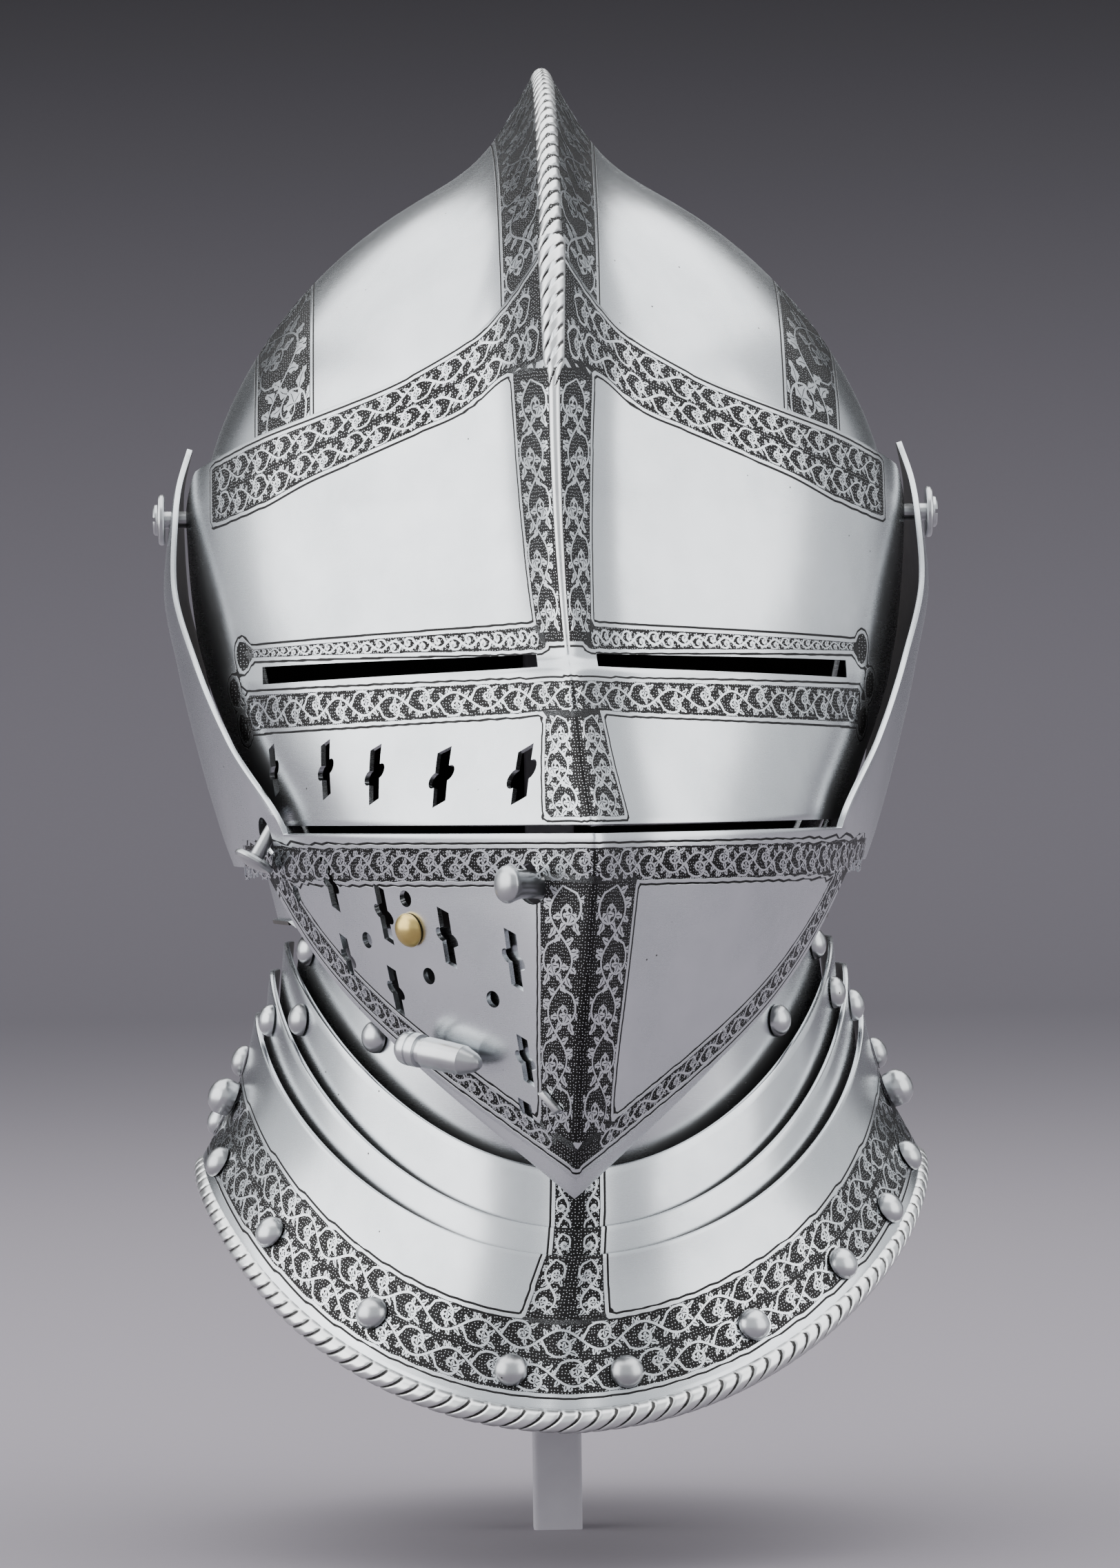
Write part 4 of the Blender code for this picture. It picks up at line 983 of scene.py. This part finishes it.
# ------------------------------------------------------------------------------------------------ ventail
# The upper bevor: pierced on the wearer's right, with broad pointed arms that lie outside the visor. A
# hole near the ridge lets the catch's button through.

VENTAIL = (
    (19.0, 95.8, 137.0, 18.0, 89.0, 91.0),
    (8.0, 99.2, 137.0, 18.0, 85.0, 96.5),
    (0.0, 100.6, 137.0, 18.0, 82.2, 100.5),
    (-19.0, 102.5, 137.0, 18.0, 77.8, 106.4),
    (-40.0, 99.0, 137.0, 18.0, 73.1, 108.6),
    (-60.0, 94.5, 137.0, 18.0, 67.2, 108.0),
    (-85.0, 87.5, 137.0, 18.0, 58.0, 104.7),
    (-100.0, 82.0, 134.5, 17.0, 58.0, 104.7),
    (-120.0, 75.5, 129.5, 16.0, 58.0, 104.7),
    (-140.0, 69.8, 123.0, 15.0, 58.0, 104.7),
    (-158.0, 66.3, 117.0, 14.0, 58.0, 104.7),
    (-171.0, 64.5, 112.0, 13.0, 58.0, 104.7),
)
VENTAIL_TOP = -84.2
VENTAIL_BREATHS = (
    (-60.9, -96.9, 5.2, 13.5), (-48.0, -104.5, 5.2, 14.5), (-32.9, -110.3, 5.2, 14.5),
    (-17.0, -115.6, 5.4, 14.5), (-56.0, -116.1, 4.8, 12.0), (-44.4, -124.0, 4.8, 12.0),
    (-12.8, -141.0, 5.0, 12.0),
)
VENTAIL_HOLES = ((-68.8, -99.6), (-43.1, -100.5), (-51.7, -111.2), (-36.7, -120.1), (-21.3, -125.7))
SHORT_BREATH = (-12.3, -153.7)
PEG_AT, PEG_LEAN = (-73.0, -79.8), (-0.15, -1.2)
BUTTON_AT, BUTTON_LEAN = (-14.0, -96.7), (-0.22, 0.15)


def edge_below(x, middle, slope, curl, curl_at, limit):
    """A lower edge that rises from its middle at a slope and curls up towards the side, to a limit."""
    return np.minimum(middle + slope * np.abs(x) + curl * (np.abs(x) / curl_at) ** 5, limit)


def faceplate(table, top, edge, shares, corner):
    """Points and faces of a plate's outer face, round the lower face and up two arms to the pivots.

    shares are the columns as parts of the half turn; those past the corner carry on up into the arm."""
    columns = both_sides(shares)
    rear_end = read_table(table, top)[-1]

    def point(angle, height):
        half_width, reach, keel = read_table(table, height)[:3]
        x, f = oval(angle, half_width, reach)
        return place(x, f + ridge(x, keel), height)

    angle = columns * rear_end
    low = np.full(len(angle), top - 30.0)
    for _ in range(12):
        low = edge_below(oval(angle, read_table(table, low)[0], 1.0)[0], *edge)
    falls = np.linspace(0, 1, 50)
    points = [point(angle, top + (low - top) * fall) for fall in falls]
    faces = grid_faces(len(falls), len(columns))
    start = len(falls) * len(columns)
    summit = max(row[0] for row in table)
    rises = np.linspace(1, 0, 60)
    for side in (-1, 1):
        arm = np.sort(side * shares[shares >= corner - 1e-9])
        for rise in rises:
            height = top + (summit - top) * rise
            front, rear = read_table(table, height)[-2:]
            turn = side * (front + (rear - front) * (np.abs(arm) - corner) / (1.0 - corner))
            points.append(point(turn if rise > 0 else arm * rear_end, np.full(len(arm), height)))
        faces += grid_faces(len(rises), len(arm), start)
        start += len(rises) * len(arm)
    return np.concatenate(points), faces


def lean_frame(frame, across, up):
    """A fitting's own axes, where its axis leans from the plate's normal."""
    point, side_way, up_way, normal = frame
    axis = normal + side_way * across + up_way * up
    axis /= np.linalg.norm(axis)
    side = np.cross(axis, up_way)
    side /= np.linalg.norm(side)
    return point, side, np.cross(side, axis), axis


def drill(name, frame, start, end, radius):
    """A round tool along a fitting's axis."""
    return turned_piece(name, [frame], ((start, radius), (end, radius)), [], 24)


ventail_face = face_of(VENTAIL)
VENTAIL_EDGE = (-171.0, 0.72, 18.7, 74.0, -93.0)
corner = 58.0 / 104.7
front_shares = corner * np.linspace(0, 1, 48) ** 1.15
shares = np.concatenate([front_shares, np.linspace(corner, 1, 22)[1:]])
outer = faceplate(VENTAIL, VENTAIL_TOP, VENTAIL_EDGE, shares, corner)
ring = [(2.2 * math.cos(t), 2.2 * math.sin(t)) for t in np.linspace(0, 2 * math.pi, 18, endpoint=False)]
short = [(a, b - BREATH_SLANT * a) for a, b in ((-2.2, -2.4), (2.2, -2.4), (2.2, 2.4), (-2.2, 2.4))]
ventail_breaths = punch("ventail_breaths", ventail_face, [
    (x, z, breath_outline(width, length)) for x, z, width, length in VENTAIL_BREATHS
] + [(x, z, ring) for x, z in VENTAIL_HOLES] + [(*SHORT_BREATH, short)])
peg_frame = lean_frame(face_frame(visor_face, *PEG_AT), *PEG_LEAN)
button_frame = lean_frame(face_frame(ventail_face, *BUTTON_AT), *BUTTON_LEAN)
ventail_plate = beat_plate("ventail_plate", *outer, [etched_steel, forge_black], WALL, [
    pivot_drill("ventail_drill"), ventail_breaths,
    drill("peg_notch", peg_frame, -4, 14, 4.2), drill("button_hole", button_frame, -6, 6, 5.2)])
x = np.linspace(-82.0, 82.0, 150)
top_band = etched_band(ventail_face, *upright(x, -97.5, -86.3), run_on=-0.5)
z = np.linspace(-96.0, -160.0, 64)
centre_band = etched_band(ventail_face, *level(z, np.interp(z, [-150, -96], [9.7, 12.9])), 25, run_on=3.0)
edge_bands = []
for side in (-1, 1):
    x = np.linspace(0.2, 74.0, 90)
    low = edge_below(x, *VENTAIL_EDGE)
    edge_bands.append(etched_band(ventail_face, *upright(side * x, low + 1.3, low + 9.0), run_on=2.5))
mark_bands(ventail_plate, [top_band, centre_band, *edge_bands])
dress(ventail_plate, "ventail_body", "ventail")
engrave("ventail_etching", "ventail_body", [
    *along_band(top_band), *along_band(centre_band, count=2),
    *along_band(edge_bands[0], 8.0), *along_band(edge_bands[1], 8.0),
])

# -------------------------------------------------------------------------------------------------- bevor
# The bevor is the chin plate behind the ventail, one beaten sheet, burnished and left plain. Its arms
# turn on the same two screws, and it carries the front half of the gorget.

BEVOR = (
    (7.0, 93.9, 134.0, 17.0, 88.0, 92.0),
    (0.0, 94.0, 134.0, 17.0, 84.6, 94.6),
    (-12.0, 93.4, 134.0, 17.0, 83.0, 94.0),
    (-30.0, 91.0, 134.0, 17.0, 80.5, 91.8),
    (-60.0, 84.6, 134.0, 17.0, 74.5, 89.0),
    (-97.0, 75.5, 132.0, 17.0, 61.5, 88.5),
    (-120.0, 70.0, 126.0, 16.0, 59.0, 88.5),
    (-140.0, 65.6, 119.4, 15.0, 59.0, 88.5),
    (-158.0, 62.2, 113.4, 14.0, 59.0, 88.5),
    (-176.0, 60.2, 106.8, 13.0, 59.0, 88.5),
)
corner = 59.0 / 88.5
front_shares = corner * np.linspace(0, 1, 40) ** 1.15
shares = np.concatenate([front_shares, np.linspace(corner, 1, 12)[1:]])
outer = faceplate(BEVOR, -108.0, (-176.0, 0.83, 11.0, 68.0, -107.0), shares, corner)
bevor_plate = beat_plate("bevor_plate", *outer, [steel, forge_black], WALL,
                         [pivot_drill("bevor_drill")])
dress(bevor_plate, "bevor_body", "bevor")

# ------------------------------------------------------------------------------------------------- gorget
# Overlapping lames of thin plate on leathers, and two bottom plates whose edge is turned over a wire and
# roped. The bottom plates have one etched band, and domed rivets held the lining's strap.

GORGET_ASIDE = 2.0          # the gorget sits this far to the wearer's left
MIDDLE_PINCH = 2.2          # crease in the middle of every front lame
ROLL = 3.0                  # radius of the turned edge
FRONT_SPAN, BACK_SPAN, BACK_ROLL_END = 100.0, 87.0, 77.0
# Half width, reach, height at the side, height in the middle and fall of each upper and lower edge.
LAMES = (
    ("throat_lame_1", 1, (66.8, 94.5, -96.0, -150.0, 1.7), (71.8, 89.5, -133.0, -180.0, 1.0)),
    ("throat_lame_2", 1, (73.5, 98.2, -113.5, -169.7, 1.5), (75.6, 99.8, -138.0, -194.0, 1.1)),
    ("throat_lame_3", 1, (77.4, 102.2, -121.0, -184.3, 1.25), (80.2, 104.2, -149.0, -203.0, 1.2)),
    ("nape_lame_1", -1, (62.6, 82.5, -84.0, -98.0, 1.0), (65.0, 86.0, -130.0, -128.0, 1.0)),
    ("nape_lame_2", -1, (67.4, 89.5, -128.0, -122.0, 1.0), (69.4, 92.5, -138.6, -146.0, 1.0)),
    ("nape_lame_3", -1, (73.6, 95.5, -140.4, -139.0, 1.0), (75.2, 100.0, -150.0, -161.0, 1.0)),
)
FRONT_PLATE = ((81.4, 106.6, -132.5, -191.0, 1.22), (96.0, 117.0, -170.5, -228.8, 1.4))
BACK_PLATE = ((78.4, 103.5, -150.4, -153.5, 1.0), (88.2, 112.0, -167.0, -206.0, 1.5))
LAME_BAND_HALF = 9.6        # half the breadth of the band down the middle of the front lames
LAME_RADIUS, PLATE_RADIUS = 100.0, 107.0


def lame_face(facing, upper, lower, bulge=0.0):
    """The outer face of a lame on the front (1) or the back (-1), by degrees from the middle and share of
    the way down; bulge swells or, below 0, hollows it."""
    def face(angle, share, out=0.0, down=0.0):
        mixed = [a + (b - a) * share for a, b in zip(upper, lower)]
        half_width, reach, side_height, middle_height, power = mixed
        turn = np.radians(angle)
        out = out + bulge * np.sin(math.pi * share)
        x = (half_width + out) * np.sin(turn)
        pinch = MIDDLE_PINCH * np.exp(-(x / 7.0) ** 2) * (np.cos(turn) > 0)
        height = side_height + (middle_height - side_height) * np.maximum(np.cos(turn), 0.0) ** power
        return place(x * facing + GORGET_ASIDE, facing * ((reach + out) * np.cos(turn) + pinch),
                     height + down)
    return face


def build_lame(name, face, span, shares, finishes, edge=0.45):
    angles = both_sides(span * np.linspace(0, 1, 66) ** 1.15)
    rows = [face(angles, np.full(len(angles), share)) for share in shares]
    return beat_plate(name, np.concatenate(rows), grid_faces(len(rows), len(angles)), finishes, WALL,
                      edge=edge)


lame_faces = {}
for name, facing, upper, lower in LAMES:
    face = lame_face(facing, upper, lower)
    lame_faces[name] = face
    span, body = (FRONT_SPAN, "bevor_body") if facing > 0 else (BACK_SPAN, "skull_body")
    lame = build_lame(name + "_plate", face, span, np.linspace(0, 1, 12), [etched_steel, forge_black])
    if facing > 0:
        shares = np.linspace(0.02, 0.98, 24)
        half = np.degrees(LAME_BAND_HALF / LAME_RADIUS)
        middle_band = etched_band(face, *level(shares, half), run_on=3.0)
        mark_bands(lame, [middle_band])
        engrave(name + "_etching", body, along_band(middle_band, count=2))
    else:
        mark_bands(lame, [])
    dress(lame, body, name)

for name, facing, plate, span, rolled, band_share, body in (
        ("front_gorget_plate", 1, FRONT_PLATE, FRONT_SPAN, FRONT_SPAN, (0.4, 0.94), "bevor_body"),
        ("back_gorget_plate", -1, BACK_PLATE, BACK_SPAN, BACK_ROLL_END, (0.36, 0.92), "skull_body")):
    face = lame_face(facing, *plate, -2.4)
    lame_faces[name] = face
    foot = 1.0 if rolled == span else 0.985
    flare = build_lame(name + "_flare", face, span, np.linspace(0, foot, 34),
                       [etched_steel, forge_black], 0.3)
    angles = np.linspace(-span + 1.5, span - 1.5, 220)
    band = etched_band(face, *upright(angles, band_share[1], band_share[0]))
    bands = [band]
    if facing > 0:
        shares = np.linspace(0.0, 0.42, 14)
        right = -np.degrees(np.interp(shares, [0, 0.42], [12.0, 16.5]) / PLATE_RADIUS)
        left = np.degrees(np.interp(shares, [0, 0.42], [10.6, 12.8]) / PLATE_RADIUS)
        bands.append(etched_band(face, np.stack([right, shares], -1), np.stack([left, shares], -1),
                                 run_on=3.0))
    mark_bands(flare, bands)
    dress(flare, body, name)
    engrave(name + "_etching", body,
            along_band(band) + (along_band(bands[1], count=2) if facing > 0 else []))
    angles = np.linspace(-rolled, rolled, 260)
    ones = np.ones(len(angles))
    core = face(angles, ones, -WALL * 0.5, -ROLL)
    out = face(angles, ones, 1.0) - face(angles, ones, 0.0)
    out = out / np.linalg.norm(out, axis=1, keepdims=True) * math.cos(math.radians(40))
    out[:, 2] = -math.sin(math.radians(40))
    along = np.gradient(core, axis=0)
    along /= np.linalg.norm(along, axis=1, keepdims=True)
    out -= along * (out * along).sum(1, keepdims=True)
    out /= np.linalg.norm(out, axis=1, keepdims=True)
    rope(name + "_rope", body, core + out * (ROLL + 0.05), out, np.cross(along, out),
         radius=ROLL + 0.05, strand=5.0, rise=8.0, wrap=172.0)


LAME_RISE = -0.02           # on a lame, heights are shares of the way down
# The rivets of each plate: degrees from the middle, share of the way down.
FRONT_RIVETS = (
    ("front_gorget_plate", (
        (-9.3, 0.78), (-33.7, 0.74), (-57.6, 0.79), (-78.4, 0.85), (-91.0, 0.76), (-90.0, 0.34),
        (9.0, 0.8), (30.6, 0.79), (49.2, 0.83), (63.9, 0.86), (78.0, 0.86), (90.0, 0.34))),
    ("throat_lame_3", ((-79.7, 0.2), (82.0, 0.2))),
    ("throat_lame_2", ((-68.4, 0.24), (74.0, 0.22))),
    ("throat_lame_1", ((-75.8, 0.34), (-47.0, 0.31), (51.8, 0.34), (75.8, 0.34))),
)
BACK_RIVETS = (
    ("back_gorget_plate", (
        (-76.0, 0.8), (-57.0, 0.84), (-34.0, 0.84), (-11.0, 0.84),
        (11.0, 0.84), (34.0, 0.84), (57.0, 0.84), (76.0, 0.8))),
)
RIVET = [(0.3, 4.1)] + [
    (0.5 + 3.3 * math.sin(math.radians(a)), 4.3 * math.cos(math.radians(a)))
    for a in (0, 12, 26, 40, 54, 68, 80, 88)
]
for kind, rivets, body in (("front", FRONT_RIVETS, "bevor_body"), ("back", BACK_RIVETS, "skull_body")):
    frames = [
        face_frame(lame_faces[plate], *at, LAME_RISE) for plate, places in rivets for at in places
    ]
    domes = turned_piece(kind + "_lining_rivets", frames, RIVET, [fitting_steel], 28)
    dress(domes, body, *[f"{kind}_rivet_{count:02d}" for count in range(1, len(frames) + 1)],
          slot="polished_steel")
STUD_ANGLE, STUD_SHARE = 86.0, 0.56
STUD = (
    (0.6, 4.3), (0.8, 4.6), (2.0, 4.8), (2.4, 4.9), (4.3, 4.9), (4.9, 4.6), (6.2, 3.6), (7.0, 2.4),
    (7.4, 1.0),
)
for side, name in ((-1, "gorget_stud_right"), (1, "gorget_stud_left")):
    stud_frame = face_frame(lame_faces["front_gorget_plate"], side * STUD_ANGLE, STUD_SHARE, LAME_RISE)
    stud = turned_piece(name + "_turned", [stud_frame], STUD, [fitting_steel])
    dress(stud, "bevor_body", name, slot="polished_steel")

# ------------------------------------------------------------------------------------------ catch and peg
# The ventail's spring catch: a push button beside the ridge, an acorn knob with a cross-cut cap, the nose
# of its hook and the brass rivet that holds its spring. The lifting peg stands on the visor's lower
# corner.


def cast_brass():
    """Brass in patches, some rubbed bright and some browner."""
    finish, tree, shader, mm = new_finish("rubbed_brass")
    cloud = add_node(tree, "ShaderNodeTexNoise", {"Scale": 1 / 3, "Detail": 3.0}, {"Vector": mm})
    colour = add_node(tree, "ShaderNodeMix",
                      {"data_type": "RGBA", 6: hex_colour("#dcc480"), 7: hex_colour("#b39a58")},
                      {0: cloud})
    rough = add_node(tree, "ShaderNodeMapRange", {"To Min": 0.2, "To Max": 0.42}, {"Value": cloud})
    set_up(tree, shader, {"Metallic": 1.0}, {"Base Color": colour.outputs[2], "Roughness": rough})
    return finish


PEG = (
    (2.8, 1.7), (3.0, 1.9), (11.4, 1.9), (11.7, 3.2), (12.1, 5.0), (12.7, 5.5), (13.3, 5.6), (14.0, 5.0),
    (14.6, 3.2), (14.9, 1.2),
)
peg = turned_piece("lifting_peg_turned", [peg_frame], PEG, [fitting_steel])
dress(peg, "visor_body", "lifting_peg", slot="polished_steel")

BUTTON = (
    (-4.6, 4.2), (-4.3, 4.4), (-3.4, 4.4), (-3.4, 3.8), (3.0, 3.6), (5.0, 4.2), (6.6, 4.8), (7.4, 4.7),
    (8.3, 4.1), (9.1, 2.6), (9.4, 1.0),
)
button = turned_piece("catch_button_turned", [button_frame], BUTTON, [fitting_steel])
dress(button, "ventail_body", "catch_button", slot="polished_steel")

SPRING_RIVET_AT = (-41.5, -108.3)
BRASS_RIVET = ((0.3, 4.3), (0.9, 4.45), (1.5, 4.2), (2.2, 3.6), (2.9, 2.7), (3.3, 1.7), (3.5, 0.6))
spring_rivet_frame = face_frame(ventail_face, *SPRING_RIVET_AT)
spring_rivet = turned_piece("spring_rivet_domed", [spring_rivet_frame], BRASS_RIVET, [cast_brass()])
dress(spring_rivet, "ventail_body", "spring_rivet", slot="brass")

KNOB_AT = (-36.5, -136.5)
KNOB_LIFT = 7.2             # the knob's axis above the plate
KNOB_LIE = (0.93, -0.2, -0.18)
KNOB = (
    (-2.0, 1.0), (-1.8, 2.0), (-1.2, 3.2), (-0.2, 4.0), (0.9, 4.3), (2.2, 4.35), (2.4, 4.0), (2.8, 4.0),
    (3.0, 4.35), (5.0, 4.3), (5.3, 3.5), (6.7, 3.4), (6.9, 3.9), (7.3, 4.0), (14.0, 3.9), (18.8, 3.75),
    (19.2, 3.5), (22.4, 2.4), (23.8, 1.4), (24.2, 0.6),
)
point, across, up, normal = face_frame(ventail_face, *KNOB_AT)
lie = across * KNOB_LIE[0] + up * KNOB_LIE[1] + normal * KNOB_LIE[2]
lie /= np.linalg.norm(lie)
side = np.cross(lie, normal)
side /= np.linalg.norm(side)
knob_frame = (point + normal * KNOB_LIFT, side, np.cross(side, lie), lie)
knob = turned_piece("latch_knob_acorn", [knob_frame], KNOB, [fitting_steel], 40)
dress(knob, "ventail_body", "latch_knob", slot="polished_steel")

NOSE_AT = (-6.4, -151.1)
point, across, up, normal = face_frame(ventail_face, *NOSE_AT)
points = []
for depth, grow in ((0.3, 1.0), (1.0, 1.0), (1.4, 0.9), (1.5, 0.75)):
    points += [(point + (across * a + up * b) * grow + normal * depth).tolist()
               for a, b in ((-3.6, 2.4), (1.6, -3.0), (3.9, -2.0), (-1.4, 3.0))]
nose = new_piece("catch_nose_filed", points, loft_faces(4, 4), [fitting_steel])
weld(nose)
smooth(nose)
dress(nose, "ventail_body", "catch_nose", slot="polished_steel")

# -------------------------------------------------------------------------------------------------- stand
# The helmet is shown on a plain wooden stand: a round foot, a square post and a round pad under the
# crown, glued together and brushed with grey paint.


def grey_paint():
    """Grey eggshell paint brushed on wood: slightly uneven, hardly any gloss."""
    finish, tree, shader, mm = new_finish("brushed_grey_paint")
    cloud = add_node(tree, "ShaderNodeTexNoise", {"Scale": 1 / 9, "Detail": 4.0}, {"Vector": mm})
    colour = add_node(tree, "ShaderNodeMix",
                      {"data_type": "RGBA", 6: hex_colour("#a19ea5"), 7: hex_colour("#938f97")},
                      {0: cloud})
    brush = add_node(tree, "ShaderNodeBump", {"Strength": 0.3, "Distance": 0.05 * MM}, {"Height": cloud})
    set_up(tree, shader, {"Roughness": 0.55}, {"Base Color": colour.outputs[2], "Normal": brush})
    return finish


stand_paint = grey_paint()
turns = 2 * math.pi * (np.arange(96) + 0.5) / 96
floor_height = -PIVOT[2] / MM


def circle(radius, height):
    return place(radius * np.cos(turns), radius * np.sin(turns), height)


def square(half, height):
    """A square with slightly rounded corners."""
    reach = half * (np.abs(np.cos(turns)) ** 14 + np.abs(np.sin(turns)) ** 14) ** (-1 / 14)
    return place(reach * np.cos(turns), reach * np.sin(turns), height)


loops = [
    circle(85.2, floor_height), circle(86.0, floor_height + 0.8), circle(86.0, floor_height + 4.0),
    circle(85.7, floor_height + 4.7), circle(85.0, floor_height + 5.0), square(6.9, floor_height + 5.0),
    square(6.5, floor_height + 5.6), square(6.5, 56.0), circle(30.0, 58.0), circle(35.0, 66.0),
    circle(28.0, 77.5), circle(14.0, 84.0),
]
stand = new_piece("post_stand_painted", np.concatenate(loops), loft_faces(len(loops), 96), [stand_paint])
weld(stand)
smooth(stand)
dress(stand, "skull_body", "post_stand", slot="grey_paint")

# --------------------------------------------------------------------------------------------------- room
# A sheet of grey-mauve paper, with painted shade that darkens it towards its top, lies over the stand's
# foot, with the post standing up through it, and is swept up far behind. Broad softboxes stand at both
# sides and hang above, and the studio's pale walls light the rest.


def sweep_paper():
    """Matt background paper, with painted shade that darkens it ever more towards its top, and hardly any
    gloss.
    """
    finish, tree, shader, mm = new_finish("matt_grey_mauve_paper")
    fleck = add_node(tree, "ShaderNodeTexNoise", {"Scale": 1 / 3, "Detail": 2.0}, {"Vector": mm})
    colour = add_node(tree, "ShaderNodeMix",
                      {"data_type": "RGBA", 6: hex_colour("#7a757c"), 7: hex_colour("#7d787f")},
                      {0: fleck})
    axes = add_node(tree, "ShaderNodeSeparateXYZ", links={0: mm})
    # Painted shade: the paper's colour darkens towards the top of the sweep, where the light falls off.
    painted_shade_rise = add_node(tree, "ShaderNodeMapRange",
                     {"interpolation_type": "SMOOTHSTEP", "From Min": 100.0, "From Max": 1450.0},
                     {"Value": axes.outputs[2]})
    paper_with_painted_shade = add_node(tree, "ShaderNodeMix", {"data_type": "RGBA", 7: hex_colour("#19171a")},
                      {0: painted_shade_rise, 6: colour.outputs[2]})
    set_up(tree, shader, {"Roughness": 0.85}, {"Base Color": paper_with_painted_shade.outputs[2]})
    return finish


PAPER_HEIGHT = 5.6          # the paper lies on the stand's foot
PAPER_REACH = 6000.0        # to each side and to the front
PAPER_TOP = 5000.0
FOLD_AT, FOLD_RADIUS = 4000.0, 2000.0
bend = np.linspace(0, math.pi / 2, 40)
profile = [(-PAPER_REACH, PAPER_HEIGHT)]
profile += list(zip(FOLD_AT + FOLD_RADIUS * np.sin(bend),
                    PAPER_HEIGHT + FOLD_RADIUS * (1 - np.cos(bend))))
profile += [(PAPER_REACH, PAPER_TOP)]
points = [(x, y, z) for y, z in profile for x in (-PAPER_REACH, PAPER_REACH)]
sweep = new_piece("paper_sweep", points, grid_faces(len(profile), 2, turned_over=True), [sweep_paper()])
smooth(sweep)

world = bpy.data.worlds.new("studio")
world.use_nodes = True
world.node_tree.nodes["Background"].inputs["Color"].default_value = hex_colour("#dfe2e6")
world.node_tree.nodes["Background"].inputs["Strength"].default_value = 1.25
bpy.context.scene.world = world


def soft_light(name, x, y, z, aim, width, height, power):
    """A broad soft light at a place in metres, turned towards its aim."""
    lamp = bpy.data.lights.new(name, "AREA")
    lamp.shape = "RECTANGLE"
    lamp.size, lamp.size_y = width, height
    lamp.energy = power
    light = bpy.data.objects.new(name, lamp)
    light.location = (x, y, z)
    light.rotation_euler = (Vector(aim) - light.location).to_track_quat("-Z", "Y").to_euler()
    bpy.context.scene.collection.objects.link(light)


centre = (0.0, 0.0, 0.24)
soft_light("left_softbox", -1.35, -0.4, 0.5, centre, 1.9, 1.5, 27)
soft_light("right_softbox", 1.35, -0.6, 0.5, centre, 1.5, 1.5, 16)
soft_light("top_softbox", 0.0, 0.35, 1.5, (0.0, 0.35, 0.0), 3.2, 2.4, 60)

CAMERA_DISTANCE = 1.8       # metres from the pivots' axis
CAMERA_TURN = -1.4          # degrees towards the wearer's right
CAMERA_ROLL = -0.7
CAMERA_ASIDE = 0.003
CAMERA_HEIGHT = 0.205
camera_data = bpy.data.cameras.new("camera")
camera_data.lens = 154.0
camera_data.sensor_width = 36.0
camera = bpy.data.objects.new("camera", camera_data)
turn = math.radians(CAMERA_TURN)
camera.location = (CAMERA_DISTANCE * math.sin(turn) + CAMERA_ASIDE * math.cos(turn),
                   PIVOT[1] - CAMERA_DISTANCE * math.cos(turn) + CAMERA_ASIDE * math.sin(turn),
                   CAMERA_HEIGHT)
level_view = Euler((math.radians(90), 0.0, turn)).to_matrix()
camera.rotation_euler = (level_view @ Matrix.Rotation(math.radians(CAMERA_ROLL), 3, "Z")).to_euler()
bpy.context.scene.collection.objects.link(camera)
bpy.context.scene.camera = camera
